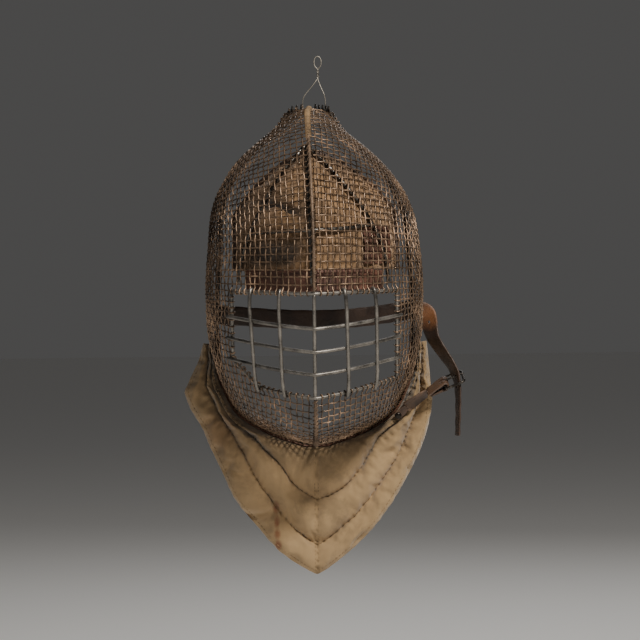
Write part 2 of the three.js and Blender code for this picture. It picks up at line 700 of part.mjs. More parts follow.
function crownPad() {
  const columns = tableCurves(PAD_COLUMNS, 'across', ['top', 'foot']);
  const acrosses = spread(PAD_COLUMNS[0].across, PAD_COLUMNS[PAD_COLUMNS.length - 1].across,
    PAD_COLUMN_STEPS);
  const rowShares = spread(0, 1, PAD_ROWS);
  const outside = -(NET_WALL / 2 + RIB_CLEAR + 2 * RIB_RADIUS + PAD_CLEAR);
  const layer = (inner) => rowShares.map((share) => acrosses.map((across, j) => {
    const top = columns.top(across);
    const along = (top + share * (columns.foot(across) - top)) * VISOR_TOP_ALONG;
    const side = Math.min(j, PAD_COLUMN_STEPS - j) / PAD_COLUMN_STEPS;
    const edge = Math.min(share, 1 - share, side) * PAD_FALL;
    const wall = PAD_EDGE_WALL + (PAD_WALL - PAD_EDGE_WALL) * Math.sqrt(Math.min(edge, 1));
    return pointAcross(along, across * MESH_HALF_WIDTH, outside - (inner ? wall : 0));
  }));
  return gridSolid(layer(false), layer(true), () => true);
}

// Leather band that hangs below the pad and ends just above the visor.
function browBand() {
  const outside = -(NET_WALL / 2 + RIB_CLEAR + 2 * RIB_RADIUS + PAD_CLEAR);
  const foot = VISOR_TOP_ALONG - VISOR_CLEAR;
  const start = foot - BROW_WIDTH;
  const acrosses = spread(-BROW_HALF, BROW_HALF, BROW_STEPS);
  const layer = (offset) => spread(start, foot, 3).map((along) => {
    return acrosses.map((across) => pointAcross(along, across * MESH_HALF_WIDTH, offset));
  });
  return gridSolid(layer(outside), layer(outside - BROW_WALL), () => true);
}

function bib() {
  const curves = tableCurves(BIB_TURNS, 'turn', ['left', 'right', 'aLeft', 'aRight', 'bLeft', 'bRight']);
  const widest = BIB_TURNS[BIB_TURNS.length - 1].turn;
  const centreZ = -BIB_CENTRE_DROP - CROWN_DROP;
  const rim = rimStations().map(stationPoint).filter((point) => point.z < -CROWN_DROP - MESH_HEIGHT / 3);
  const edgeClear = RIM_CLEAR + BINDING_WALL + 3 * FIT;
  const rimRadius = (turn) => {
    const aim = new THREE.Vector2(Math.sin(turn), -Math.cos(turn));
    let best = null;
    for (let i = 1; i < rim.length; i += 1) {
      const a = new THREE.Vector2(rim[i - 1].x, rim[i - 1].z - centreZ);
      const b = new THREE.Vector2(rim[i].x, rim[i].z - centreZ);
      const crossA = aim.cross(a);
      const crossB = aim.cross(b);
      if (crossA * crossB > 0 || a.dot(aim) < 0) continue;
      const share = crossA / (crossA - crossB);
      const slant = Math.abs(aim.cross(b.clone().sub(a).normalize()));
      best = {
        radius: a.dot(aim) + share * (b.dot(aim) - a.dot(aim)) + edgeClear / slant,
        y: rim[i - 1].y + share * (rim[i].y - rim[i - 1].y)
      };
    }
    return best;
  };
  const turns = spread(-widest, widest, BIB_FAN);
  const channel = (start, end, cells) => spread(0, 1, cells).map((share) => ({
    at: start + share * (end - start), puff: Math.sqrt(4 * share * (1 - share))
  }));
  const layer = (side) => turns.map((turn) => {
    const hand = turn < 0 ? 'Left' : 'Right';
    const size = Math.abs(turn);
    const edge = rimRadius(turn * DEGREE);
    const inner = edge.radius;
    const outer = curves[hand.toLowerCase()](size) * BIB_REACH;
    const a = curves[`a${hand}`](size);
    const b = curves[`b${hand}`](size);
    const inside = [...channel(0, b, 3).slice(0, -1), ...channel(b, a, 4).slice(0, -1)];
    const places = [...inside, ...channel(a, 1, 4)];
    return places.map(({ at, puff }, j) => {
      const radius = inner + at * (outer - inner);
      const end = j === 0 || j === places.length - 1;
      const narrow = Math.min((outer - inner) / STRAP_WIDTH, 1);
      const wall = end ? BIB_EDGE_WALL * narrow : BIB_SEAM_WALL + BIB_PUFF * puff * narrow;
      return new THREE.Vector3(
        radius * Math.sin(turn * DEGREE),
        edge.y + at * BIB_HANG_BACK + side * wall / 2,
        centreZ - radius * Math.cos(turn * DEGREE)
      );
    });
  });
  return gridSolid(layer(-1), layer(1), () => true);
}

// Place given by shares of the mask's sizes.
function place({ across, drop, forward }) {
  return new THREE.Vector3(
    across * MESH_HALF_WIDTH,
    -CROWN_FORWARD - forward * MESH_DEPTH,
    -CROWN_DROP - drop * MESH_HEIGHT
  );
}

// Points, width direction and width along a strap's route.
function strapStations(route, steps) {
  const curve = new THREE.CatmullRomCurve3(route.map(place), false, 'centripetal');
  const rows = route.map((row, i) => ({ ...row, at: i }));
  const curves = tableCurves(rows, 'at', ['turn', 'wide']);
  return spread(0, 1, steps).map((share) => {
    const at = share * (route.length - 1);
    const point = curve.getPoint(share);
    const tangent = curve.getTangent(share);
    const flat = tangent.clone().cross(BACK).normalize();
    const deep = tangent.clone().cross(flat).normalize();
    const turn = curves.turn(at) * DEGREE;
    const width = flat.multiplyScalar(Math.cos(turn)).addScaledVector(deep, Math.sin(turn));
    return { point, tangent, width, wide: curves.wide(at) * STRAP_WIDTH };
  });
}

function ribbon(stations) {
  return loft(stations.map(({ point, tangent, width, wide }) => {
    const face = width.clone().cross(tangent).normalize();
    const corner = (u, v) => point.clone()
      .addScaledVector(width, u * wide / 2).addScaledVector(face, v * STRAP_WALL / 2);
    return [corner(-1, -1), corner(1, -1), corner(1, 1), corner(-1, 1)];
  }), false);
}

const buckleRun = BUCKLE_RUN.clone().normalize();
const buckleAcross = BUCKLE_ACROSS.clone().normalize();
const buckleFace = buckleRun.clone().cross(buckleAcross).normalize();
const buckleCentre = place(BUCKLE_PLACE);

function bucklePoint(run, across, face) {
  return buckleCentre.clone().addScaledVector(buckleRun, run)
    .addScaledVector(buckleAcross, across).addScaledVector(buckleFace, face);
}

function buckleFrame() {
  const halfRun = BUCKLE_LENGTH / 2;
  const halfAcross = BUCKLE_WIDTH / 2;
  const bend = 3 * BUCKLE_RADIUS;
  const corners = [[1, 1], [-1, 1], [-1, -1], [1, -1]];
  const points = corners.flatMap(([u, v], i) => {
    const arc = spread(0, 90, 3).map((angle) => angle * DEGREE);
    const start = i * 90 * DEGREE;
    return arc.map((angle) => {
      const turn = start + angle;
      return bucklePoint(u * (halfRun - bend) + bend * Math.cos(turn),
        v * (halfAcross - bend) + bend * Math.sin(turn), 0);
    });
  });
  return rod(points, BUCKLE_RADIUS, FINE_SIDES, buckleFace, true);
}

// Pin that crosses the buckle from its strap end to rest on the far end.
function tonguePath(radius) {
  const rest = BUCKLE_RADIUS + FIT + TONGUE_RADIUS;
  const half = BUCKLE_LENGTH / 2;
  const ring = spread(TONGUE_RING_START, 90, 3).map((angle) => angle * DEGREE);
  return rod([
    ...ring.map((angle) => bucklePoint(-half + rest * Math.cos(angle), 0, -rest * Math.sin(angle))),
    bucklePoint(half / 2, 0, -rest - FIT), bucklePoint(half + BUCKLE_RADIUS, 0, -rest)
  ], radius, FINE_SIDES, buckleAcross);
}

function napeStrap() {
  const strap = ribbon(strapStations(NAPE_ROUTE, NAPE_STEPS));
  return cut(strap, [tonguePath(TONGUE_RADIUS + FIT), napeRivetShaft(FIT)]);
}

// Strap from the jaw, folded round the buckle's end and back along itself.
function jawStrap() {
  const turnRadius = BUCKLE_RADIUS + 2 * FIT + STRAP_WALL / 2;
  const barRun = -BUCKLE_LENGTH / 2;
  const route = strapStations(JAW_ROUTE, JAW_STEPS);
  const lead = route[route.length - 1];
  const loopTurns = spread(0, 180, 6).map((angle) => angle * DEGREE);
  const loop = loopTurns.map((angle) => ({
    point: bucklePoint(barRun + turnRadius * Math.sin(angle), 0, -turnRadius * Math.cos(angle))
  }));
  const under = bucklePoint(barRun - JAW_RETURN, 0, turnRadius);
  const back = [1, 2, 3].map((i) => {
    return { point: loop[loop.length - 1].point.clone().lerp(under, i / 3) };
  });
  const straight = [...loop, ...back].map(({ point }) => ({
    point, width: buckleAcross.clone(), wide: STRAP_WIDTH
  }));
  const sign = Math.sign(lead.width.dot(buckleAcross)) || 1;
  const stations = [...route.slice(0, -1), ...straight].map((station) => ({ ...station }));
  stations.slice(0, route.length - 1).forEach((station) => station.width.multiplyScalar(sign));
  const tangents = tangentsOf(stations.map(({ point }) => point), false);
  stations.forEach((station, i) => {
    station.tangent = tangents[i];
  });
  return cut(ribbon(stations), [jawRivetShaft(FIT), tongueSlot()]);
}

// Slot in the folded strap that the buckle's pin moves in.
function tongueSlot() {
  const hinge = -BUCKLE_LENGTH / 2;
  const depth = BUCKLE_RADIUS + FIT + TONGUE_RADIUS;
  const points = [-1, 2].map((share) => bucklePoint(hinge + share * 3 * BUCKLE_RADIUS, 0, -depth));
  return rod(points, 2 * TONGUE_RADIUS + FIT, FINE_SIDES, buckleAcross);
}

// Rivets: a domed head over a shank. foot is the shank's end, head its other end.
function rivet(foot, head) {
  const length = foot.distanceTo(head);
  const profile = [
    [0, 0], [RIVET_SHANK_RADIUS, 0], [RIVET_SHANK_RADIUS, length], [RIVET_HEAD_RADIUS, length],
    [RIVET_HEAD_RADIUS * 0.7, length + RIVET_HEAD_HEIGHT * 0.7], [0, length + RIVET_HEAD_HEIGHT]
  ].map(([x, y]) => new THREE.Vector2(x, y));
  const geometry = new THREE.LatheGeometry(profile, RIVET_SIDES);
  const aim = head.clone().sub(foot).normalize();
  geometry.applyQuaternion(new THREE.Quaternion().setFromUnitVectors(BACK, aim));
  geometry.translate(foot.x, foot.y, foot.z);
  return geometry;
}

function shaft(foot, head, clearance) {
  const aim = head.clone().sub(foot).normalize();
  const reach = 2 * STRAP_WALL;
  const ends = [foot.clone().addScaledVector(aim, -reach), head.clone().addScaledVector(aim, reach)];
  return rod(ends, RIVET_SHANK_RADIUS + clearance, RIVET_SIDES, UP);
}

function jawRivetEnds() {
  const station = strapStations(JAW_ROUTE, JAW_STEPS)[1];
  const face = station.width.clone().cross(station.tangent).normalize();
  if (face.y > 0) face.negate();
  const foot = station.point.clone().addScaledVector(face, -STRAP_WALL / 2 - FIT);
  return [foot, station.point.clone().addScaledVector(face, STRAP_WALL / 2 + FIT)];
}

function jawRivetShaft(clearance) {
  return shaft(...jawRivetEnds(), clearance);
}

function napeRivetEnds() {
  const point = strapStations(NAPE_ROUTE, NAPE_STEPS)[2].point;
  const half = STRAP_WALL / 2;
  return [point.clone().addScaledVector(BACK, -half), point.clone().addScaledVector(BACK, half + FIT)];
}

function napeRivetShaft(clearance) {
  return shaft(...napeRivetEnds(), clearance);
}

function hangingWire() {
  const eyeCentre = new THREE.Vector3(EYE_OFFSET, 0, -EYE_RADIUS);
  const eye = spread(EYE_START, EYE_END, 10).map((angle) => new THREE.Vector3(
    eyeCentre.x + (EYE_RADIUS - WIRE_RADIUS) * EYE_NARROWING * Math.cos(angle * DEGREE), 0,
    eyeCentre.z + (EYE_RADIUS - WIRE_RADIUS) * Math.sin(angle * DEGREE)
  ));
  const rimY = -CROWN_FORWARD;
  const hookRadius = RIM_CLEAR + WIRE_RADIUS;
  const legs = WIRE_LEGS.map((leg, i) => {
    const points = leg.map(({ across, drop }, k) => new THREE.Vector3(
      across * MESH_HALF_WIDTH, rimY * k / 3, -CROWN_DROP - drop * MESH_HEIGHT
    ));
    const end = leg[leg.length - 1].across * MESH_HALF_WIDTH;
    const edge = crownEdge(end);
    const hook = spread(0, HOOK_TURN, 3).map((angle) => new THREE.Vector3(
      end, edge.y + hookRadius * Math.cos(angle * DEGREE), edge.z - hookRadius * Math.sin(angle * DEGREE)
    ));
    const start = i === 0 ? eye[eye.length - 1] : eye[0];
    return rod([start, ...points, ...hook], WIRE_RADIUS, ROD_SIDES, RIGHT);
  });
  return fuse([rod(eye, WIRE_RADIUS, ROD_SIDES, BACK), ...legs]);
}

// Materials

function finish(color, roughness, metalness) {
  return new THREE.MeshStandardMaterial({ color, roughness, metalness });
}

const rustyWire = finish(0x6e5f50, 0.6, 0.8);
const greySteel = finish(0x7d7468, 0.45, 0.9);
const darkIron = finish(0x2e2b28, 0.5, 0.8);
const khakiCanvas = finish(0xa08a60, 0.95, 0);
const tanCanvas = finish(0xa98b57, 0.95, 0);
const brownLeather = finish(0x5a3c28, 0.6, 0);
const reddishLeather = finish(0x7a4a36, 0.65, 0);
const waxedCord = finish(0x8d6f3f, 0.8, 0);

const mask = new THREE.Group();
mask.position.x = -EYE_OFFSET;

function add(name, geometry, material) {
  const mesh = new THREE.Mesh(geometry, material);
  mesh.name = name;
  mask.add(mesh);
}

add('net_left', netHalf(-1), rustyWire);
add('net_right', netHalf(1), rustyWire);
add('keel_seam', seam(RIM_CLEAR, VISOR_TOP_ALONG - VISOR_CLEAR, KEEL_SEAM_STEPS), waxedCord);
const chinEnd = KEEL_LENGTH - RIM_CLEAR;
add('chin_seam', seam(VISOR_BOTTOM_ALONG + VISOR_CLEAR, chinEnd, CHIN_SEAM_STEPS), waxedCord);
add('rim_wire', rod(rimPath(), RIM_RADIUS, ROD_SIDES, BACK, true), darkIron);
add('rim_binding', rimBinding(), reddishLeather);
add('visor_grille', visorGrille(), greySteel);
add('crown_ribs', crownRibs(), darkIron);
add('crown_pad', crownPad(), tanCanvas);
add('brow_band', browBand(), reddishLeather);
add('bib', bib(), khakiCanvas);
add('nape_strap', napeStrap(), brownLeather);
add('jaw_strap', jawStrap(), brownLeather);
add('buckle_frame', buckleFrame(), darkIron);
add('buckle_tongue', tonguePath(TONGUE_RADIUS), darkIron);
add('jaw_rivet', rivet(...jawRivetEnds()), darkIron);
add('nape_rivet', rivet(...napeRivetEnds()), darkIron);
add('hanging_wire', hangingWire(), greySteel);

const object = new THREE.Group();
object.add(mask);

export default object;
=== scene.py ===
"""Old fencing mask of woven wire with a barred visor, a padded crown and a quilted canvas bib.

Lengths in the tables and in the making functions are millimetres in the mask's own frame, whose
X is EYE_OFFSET to the right of the row frame; row_points turns them to metres in the row frame.
"""

import math

import bpy
import numpy as np
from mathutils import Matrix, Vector


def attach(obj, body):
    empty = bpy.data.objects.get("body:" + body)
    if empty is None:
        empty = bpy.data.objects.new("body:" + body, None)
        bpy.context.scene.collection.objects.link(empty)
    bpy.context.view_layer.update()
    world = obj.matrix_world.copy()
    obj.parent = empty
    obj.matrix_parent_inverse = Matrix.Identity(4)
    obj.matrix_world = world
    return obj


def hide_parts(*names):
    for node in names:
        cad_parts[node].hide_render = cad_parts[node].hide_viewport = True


bl_info = {
    "name": "Fencing mask",
    "version": (1, 0, 0),
    "blender": (4, 5, 0),
    "location": "3D View > Sidebar > Mask",
    "description": "Builds an old wire fencing mask with a quilted bib around its packed frame",
    "category": "Object",
}

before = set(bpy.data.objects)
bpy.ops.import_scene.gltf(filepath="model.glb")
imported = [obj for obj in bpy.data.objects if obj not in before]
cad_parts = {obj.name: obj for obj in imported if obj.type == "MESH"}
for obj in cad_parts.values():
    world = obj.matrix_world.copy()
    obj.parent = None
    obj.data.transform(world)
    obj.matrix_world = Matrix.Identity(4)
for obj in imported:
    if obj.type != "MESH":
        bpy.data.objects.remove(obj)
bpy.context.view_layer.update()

# Wire cloth shell
MESH_HEIGHT = 333
MESH_HALF_WIDTH = 105.4
MESH_DEPTH = 170
CROWN_DROP = 52
CROWN_FORWARD = 4
CHIN_FORWARD = 11
KEEL_CREASE = 0.3
CREASE_ROUND = 12
# Leather on the rim: drop below the crown's edge where it starts, outer and inner radius
BINDING_DROP = 246
BINDING_OUTER = 3.75
BINDING_INNER = 2.45
EYE_OFFSET = 5.5
SECTION_NAMES = ("drop", "depth", "lift", "half", "wrap", "lean")
SECTIONS = (
    (0, 0, -0.009, 0.18, 90, -0.032),
    (0.024, 0.27, -0.06, 0.36, 100, -0.047),
    (0.069, 0.506, -0.069, 0.564, 107, -0.043),
    (0.138, 0.712, -0.078, 0.776, 110, -0.032),
    (0.228, 0.859, -0.054, 0.888, 112, -0.02),
    (0.339, 0.953, -0.018, 0.954, 114, -0.007),
    (0.459, 0.994, 0.006, 0.982, 115, 0.001),
    (0.562, 1, 0.02, 1, 115, 0),
    (0.655, 0.95, 0.06, 0.996, 114, 0),
    (0.745, 0.9, 0.069, 0.98, 110, 0),
    (0.85, 0.841, 0.072, 0.911, 101, 0),
    (0.91, 0.776, 0.07, 0.83, 94, 0),
    (0.961, 0.647, 0.063, 0.73, 90, 0),
    (0.988, 0.459, 0.045, 0.54, 90, 0),
    (0.997, 0.27, 0.024, 0.332, 90, 0),
    (1, 0.065, 0.003, 0.1, 90, 0),
)

# Woven wires: rise of one over another as a share of its radius, distance kept from the bar that
# an end hooks round, how far the wires stray from their places, depth and span of the dents
HOOK_TURNS = (55, 95, 140, 185, 230, 275, 320)
WEAVE_RISE = 0.95
END_CLEAR = 2.6
UPRIGHT_STRAY = 0.45
LEVEL_STRAY = 0.4
DENTS = (0.5, 75)
# Radius of the wire ends curled over the crown, and places across it of the thick loops
CROWN_CURL = 2.5
CROWN_LOOPS = (-20.5, -16, -11.5, 2.5, 6, 9.5, 13, 15.5)
LOOP_WIRE = 0.8

# Coils on the keel: length of a turn, half width, half depth, distance outside the cloth
LASHING_COIL = (3.2, 2.5, 1.35, 0.4)
KEEL_COIL = (7.3, 2.2, 1.9, 0.5)
CHIN_COIL = (5, 2.3, 1.9, 0.5)
LASHED_SHARE = 0.42
KEEL_WIRE = 1.5

# Barred visor
VISOR_HALF_WIDTH = 78
VISOR_TOP = 187
VISOR_BOTTOM = 284
VISOR_CUT_LENGTH = 21
VISOR_CUT_WIDTH = 26
BAR_STAND = 3.1
BAR_LAP = 2.6
BAR_TAIL = 3
# Ends of the front bars round the frame: distance past the frame's middle, distance outside it
BAR_HOOK = ((2.6, -2.1), (3.3, 0.2), (2.4, 2.5))
# Upright bars: place at the top and foot, shares of the half width; 1 in front of the cross bars.
UPRIGHT_BARS = (
    (-0.737, -0.67, 1),
    (-0.39, -0.346, 1),
    (0, 0, -1),
    (0.345, 0.368, 1),
    (0.695, 0.705, 1),
)
CROSS_BARS = (0.325, 0.548, 0.765)

# Ribs under the cloth: share of the keel down to the visor, share of the half width
CENTRE_RIB = ((0.435, -0.03), (0.6, -0.03), (0.8, -0.03), (0.975, -0.02))
RIGHT_RIB = (
    (0.435, -0.03),
    (0.49, 0.08),
    (0.56, 0.23),
    (0.66, 0.42),
    (0.76, 0.56),
    (0.86, 0.66),
    (0.975, 0.7),
)
LEFT_RIB = (
    (0.435, -0.03),
    (0.49, -0.14),
    (0.56, -0.28),
    (0.66, -0.43),
    (0.76, -0.56),
    (0.86, -0.66),
    (0.975, -0.72),
)
CROSS_RIB = ((0.79, -0.58), (0.79, -0.3), (0.79, 0), (0.78, 0.3), (0.76, 0.55))
RIB_OFFSET = -4.4

# Crown pad: share of the half width, upper and lower edge as shares of the keel to the visor
PAD_COLUMNS = (
    (-0.78, 0.71, 0.9245),
    (-0.6, 0.6, 0.9245),
    (-0.4, 0.525, 0.9245),
    (-0.2, 0.475, 0.9245),
    (0, 0.456, 0.9245),
    (0.2, 0.466, 0.9245),
    (0.4, 0.495, 0.9245),
    (0.6, 0.555, 0.9245),
    (0.82, 0.68, 0.9245),
)
PAD_OUTSIDE = -7.2
# How far the canvas lies behind the solid pad's face, so that its wrinkles clear the ribs
PAD_SINK = 1.8
PAD_WALL = 9
PAD_EDGE_WALL = 3
BROW_WALL = 2.5
BROW_WIDTH = 19
BROW_HALF = 0.66
# Hollow above the torn flap, dented into the pad and painted black as shadow: middle across and up,
# slope, half length, half height
PAD_HOLLOW = (-34, -158, 0.37, 19, 6)
# Painted shadow under the cross rib: middle across and up, half length, half height
PAD_SHADOW = (-38, -201, 26, 11)
# Torn flap: ends across, top and drop as shares of the keel to the visor
FLAP_ACROSS = (-50, -8)
FLAP_TOP = 0.735
FLAP_DROP = 0.068
FLAP_WALL = 0.9
# Leather patch at the pad's lower right: the same
PATCH_ACROSS = (50, 77)
PATCH_DOWN = (0.76, 0.905)
PATCH_WALL = 1.8

# Bib: degrees from straight down, outline left and right as shares of the reach,
# then the outer and inner seams as shares of the way from the rim to the outline
BIB_REACH = 215.5
BIB_CENTRE_DROP = 248
BIB_SEAM_WALL = 4
BIB_EDGE_WALL = 5
BIB_HANG_BACK = 8
BIB_TURNS = (
    (0, 1, 1, 0.77, 0.77, 0.41, 0.41),
    (10, 0.914, 0.9, 0.7, 0.745, 0.35, 0.42),
    (20, 0.817, 0.812, 0.63, 0.713, 0.26, 0.375),
    (30, 0.749, 0.735, 0.54, 0.676, 0.2, 0.273),
    (40, 0.677, 0.677, 0.46, 0.633, 0.15, 0.17),
    (50, 0.636, 0.636, 0.38, 0.54, 0.12, 0.13),
    (60, 0.613, 0.601, 0.34, 0.486, 0.1, 0.11),
    (70, 0.622, 0.566, 0.32, 0.47, 0.1, 0.1),
    (75, 0.624, 0.55, 0.32, 0.44, 0.1, 0.1),
    (80, 0.59, 0.536, 0.32, 0.4, 0.1, 0.1),
    (90, 0.534, 0.521, 0.36, 0.38, 0.1, 0.1),
    (98, 0.518, 0.518, 0.4, 0.4, 0.12, 0.12),
)

# Strap routes: across, drop and forward as shares of the mask's sizes, turn of the face from
# the front in degrees, width as a share of the strap's
STRAP_WIDTH = 19
NAPE_ROUTE = (
    (-1, 0.615, 0.0175, 0, 1),
    (-0.9, 0.616, 0.0172, 0, 1),
    (-0.7, 0.62, -0.012, 0, 1),
    (-0.38, 0.628, -0.035, 0, 1),
    (0, 0.632, -0.043, 0, 1),
    (0.38, 0.628, -0.035, 0, 1),
    (0.7, 0.616, -0.012, 0, 1),
    (0.93, 0.606, 0.002, 2, 1),
    (1.04, 0.616, 0.012, 12, 1),
    (1.075, 0.638, 0.02, 34, 1),
    (1.09, 0.668, 0.032, 44, 1),
    (1.127, 0.7, 0.05, 54, 1),
    (1.212, 0.742, 0.084, 60, 1),
    (1.285, 0.78, 0.112, 67, 1),
    (1.318, 0.812, 0.124, 72, 1),
    (1.33, 0.847, 0.128, 78, 1),
    (1.33, 0.91, 0.128, 81, 1),
    (1.322, 0.978, 0.128, 82, 0.94),
)
JAW_ROUTE = (
    (0.755, 0.922, 0.118, 4, 0.42),
    (0.805, 0.907, 0.121, 10, 0.42),
    (0.852, 0.892, 0.133, 36, 0.42),
    (0.868, 0.889, 0.14, 50, 0.85),
    (0.95, 0.871, 0.147, 61, 1),
    (1.065, 0.848, 0.134, 66, 1),
)
BUCKLE_PLACE = (1.29, 0.8145, 0.125)
BUCKLE_RUN = (0.93, 0, 0.36)
BUCKLE_ACROSS = (0.05, -0.92, -0.38)
BUCKLE_LENGTH = 20
BUCKLE_WIDTH = 26
JAW_RETURN = 16
# Shares of the nape strap's length at which its free end is punched, and the holes' radius
PUNCHED = (0.545, 0.87, 0.915, 0.96)
PUNCH_RADIUS = 1.7
# Rivet: radius and height pairs up its axis
RIVET_DOME = (
    (0.9, -0.6),
    (1.3, 0),
    (1.3, 2.8),
    (3, 2.85),
    (3.25, 3.2),
    (2.9, 3.9),
    (1.9, 4.4),
    (0.7, 4.6),
)

# Hanging wire: across and drop of its legs, shares of the mask's sizes
EYE_RADIUS = 6.5
LOOP_RADIUS = 0.55
TWIST_RADIUS = 0.62
TWIST_FOOT = -21.5
WIRE_LEGS = (
    ((0.052, -0.1), (0.01, -0.07), (-0.085, -0.03)),
    ((0.052, -0.1), (0.07, -0.07), (0.118, -0.03)),
)

# Camera, measured from the plane against which the mask hangs
HANG_PLANE_Y = 10
CAMERA_REACH = 2200
CAMERA_X = -0.3
CAMERA_Z = -263
CAMERA_LENS = 123.75
CAMERA_ROLL = 0.617
FLOOR_Z = -780

# Lights: name, place in metres, size, watts, colour. The small key gives the sharp shadows.
LIGHT_AIM = (0, -0.06, -0.27)
LIGHTS = (
    ("key_light", (0.8, -1.45, 1.2), 0.36, 66, (1, 0.96, 0.9)),
    ("fill_light", (-1.7, -1.6, 0.1), 1.6, 4.5, (0.93, 0.96, 1)),
    ("back_light", (0.5, 1.8, 1.1), 1.4, 9, (1, 1, 1)),
)
WORLD_COLOUR = (0.62, 0.61, 0.6)
WORLD_STRENGTH = 0.12
FLOOR_COLOUR = (0.95, 0.94, 0.92)

# A band of the wave texture repeats each 2 pi / 20 at scale 1.
WAVE_TURN = math.pi / 10

UP = np.array((0.0, 0.0, 1.0))
RIGHT = np.array((1.0, 0.0, 0.0))
BACK = np.array((0.0, 1.0, 0.0))


# Interpolation and the surface of the wire cloth


def smooth_table(places, values):
    """Smooth curve through table values that never overshoots them."""
    places = np.asarray(places, float)
    values = np.asarray(values, float)
    spans = np.diff(places)
    slopes = np.diff(values) / spans
    tangents = np.zeros_like(values)
    tangents[0] = slopes[0]
    tangents[-1] = slopes[-1]
    same = slopes[:-1] * slopes[1:] > 0
    before = slopes[:-1][same]
    after = slopes[1:][same]
    tangents[1:-1][same] = 2 * before * after / (before + after)

    def curve(at):
        inside = np.clip(at, places[0], places[-1])
        i = np.clip(np.searchsorted(places, inside) - 1, 0, len(spans) - 1)
        t = (inside - places[i]) / spans[i]
        rest = 1 - t
        ends = values[i] * rest**2 * (1 + 2 * t) + values[i + 1] * t**2 * (3 - 2 * t)
        return ends + spans[i] * t * rest * (tangents[i] * rest - tangents[i + 1] * t)

    return curve


def table_curves(rows, places=None):
    """One smooth curve for each column; the first column is the place unless places are given."""
    columns = np.array(rows, float).T
    if places is None:
        return [smooth_table(columns[0], column) for column in columns[1:]]
    return [smooth_table(places, column) for column in columns]


_sections = np.array(SECTIONS, float)
_falls = np.diff(_sections[:, 0]) * MESH_HEIGHT
_runs = np.diff(_sections[:, 1]) * MESH_DEPTH
_alongs = np.concatenate(([0], np.cumsum(np.hypot(_falls, _runs))))
KEEL_LENGTH = _alongs[-1]
KEEL = dict(zip(SECTION_NAMES, table_curves(SECTIONS, _alongs)))


def inward_share(angle):
    return (1 - KEEL_CREASE) * (1 - np.cos(angle)) + KEEL_CREASE * np.sin(angle)


def wrap_at(along):
    return np.radians(KEEL["wrap"](along))


def half_at(along):
    return KEEL["half"](along) * MESH_HALF_WIDTH


def cloth_point(along, angle, side):
    """Points of the cloth's middle surface. angle runs from 0 at the keel to wrap at the rim."""
    along = np.asarray(along, float)
    share = inward_share(angle) / inward_share(wrap_at(along))
    keel_y = -CROWN_FORWARD - KEEL["depth"](along) * MESH_DEPTH
    rim_y = -CROWN_FORWARD - along / KEEL_LENGTH * CHIN_FORWARD
    keel_z = -CROWN_DROP - KEEL["drop"](along) * MESH_HEIGHT
    lift = KEEL["lift"](along) * MESH_HEIGHT
    x = side * half_at(along) * np.sin(angle) + KEEL["lean"](along) * MESH_HALF_WIDTH
    y = keel_y + share * (rim_y - keel_y)
    z = keel_z + lift * share * (2 - share)
    return np.stack(np.broadcast_arrays(x, y, z), -1)


def unit(vectors):
    vectors = np.asarray(vectors, float)
    return vectors / np.maximum(np.linalg.norm(vectors, axis=-1, keepdims=True), 1e-9)


def cloth_normal(along, angle, side):
    """Outward directions of the cloth."""
    step = 0.5
    turn = 0.02
    along = np.asarray(along, float)
    angle = np.asarray(angle, float)
    inner = np.maximum(angle - turn, 0)
    outer = np.minimum(angle + turn, wrap_at(along))
    down = cloth_point(np.minimum(along + step, KEEL_LENGTH), angle, side) - cloth_point(
        np.maximum(along - step, 0), angle, side,
    )
    out = cloth_point(along, outer, side) - cloth_point(along, inner, side)
    return unit(np.cross(down, out) * np.asarray(side, float)[..., None])


def cloth_offset(along, angle, side, offset):
    offset = np.asarray(offset, float)
    return cloth_point(along, angle, side) + cloth_normal(along, angle, side) * offset[..., None]


def angle_across(along, across):
    return np.arcsin(np.minimum(np.abs(across) / half_at(along), 1))


def point_across(along, across, offset):
    """Points beside the cloth at places across it, with the keel's crease rounded off."""
    along, across, offset = np.broadcast_arrays(
        np.asarray(along, float), np.asarray(across, float), np.asarray(offset, float),
    )
    side = np.where(across < 0, -1.0, 1.0)
    angle = angle_across(along, across)
    normal = cloth_normal(along, angle, side)
    normal[..., 0] *= np.minimum(np.abs(across) / CREASE_ROUND, 1)
    return cloth_point(along, angle, side) + unit(normal) * offset[..., None]


def keel_at_drop(drop):
    """Keel length at which the keel has fallen by drop below the crown's edge."""
    places = np.linspace(0, KEEL_LENGTH, 4001)
    return float(np.interp(drop, KEEL["drop"](places) * MESH_HEIGHT, places))


def section_lengths(along):
    """Angles over a section and the lengths from the keel to them."""
    angles = np.linspace(0, wrap_at(along), 121)
    return angles, lengths_along(cloth_point(np.full_like(angles, along), angles, 1))


VISOR_TOP_ALONG = keel_at_drop(VISOR_TOP)
VISOR_BOTTOM_ALONG = keel_at_drop(VISOR_BOTTOM)
CUT_ALONG = keel_at_drop(VISOR_BOTTOM - VISOR_CUT_LENGTH)


def visor_half_width(along, side):
    share = np.clip((along - CUT_ALONG) / (VISOR_BOTTOM_ALONG - CUT_ALONG), 0, 1)
    return VISOR_HALF_WIDTH - (share * VISOR_CUT_WIDTH if side < 0 else 0)


def crown_edge(across):
    """Point of the crown's edge at a place across it."""
    keel = cloth_point(0, 0, 1)
    corner = cloth_point(0, wrap_at(0), -1 if across < keel[0] else 1)
    return keel + (corner - keel) * ((across - keel[0]) / (corner[0] - keel[0]))


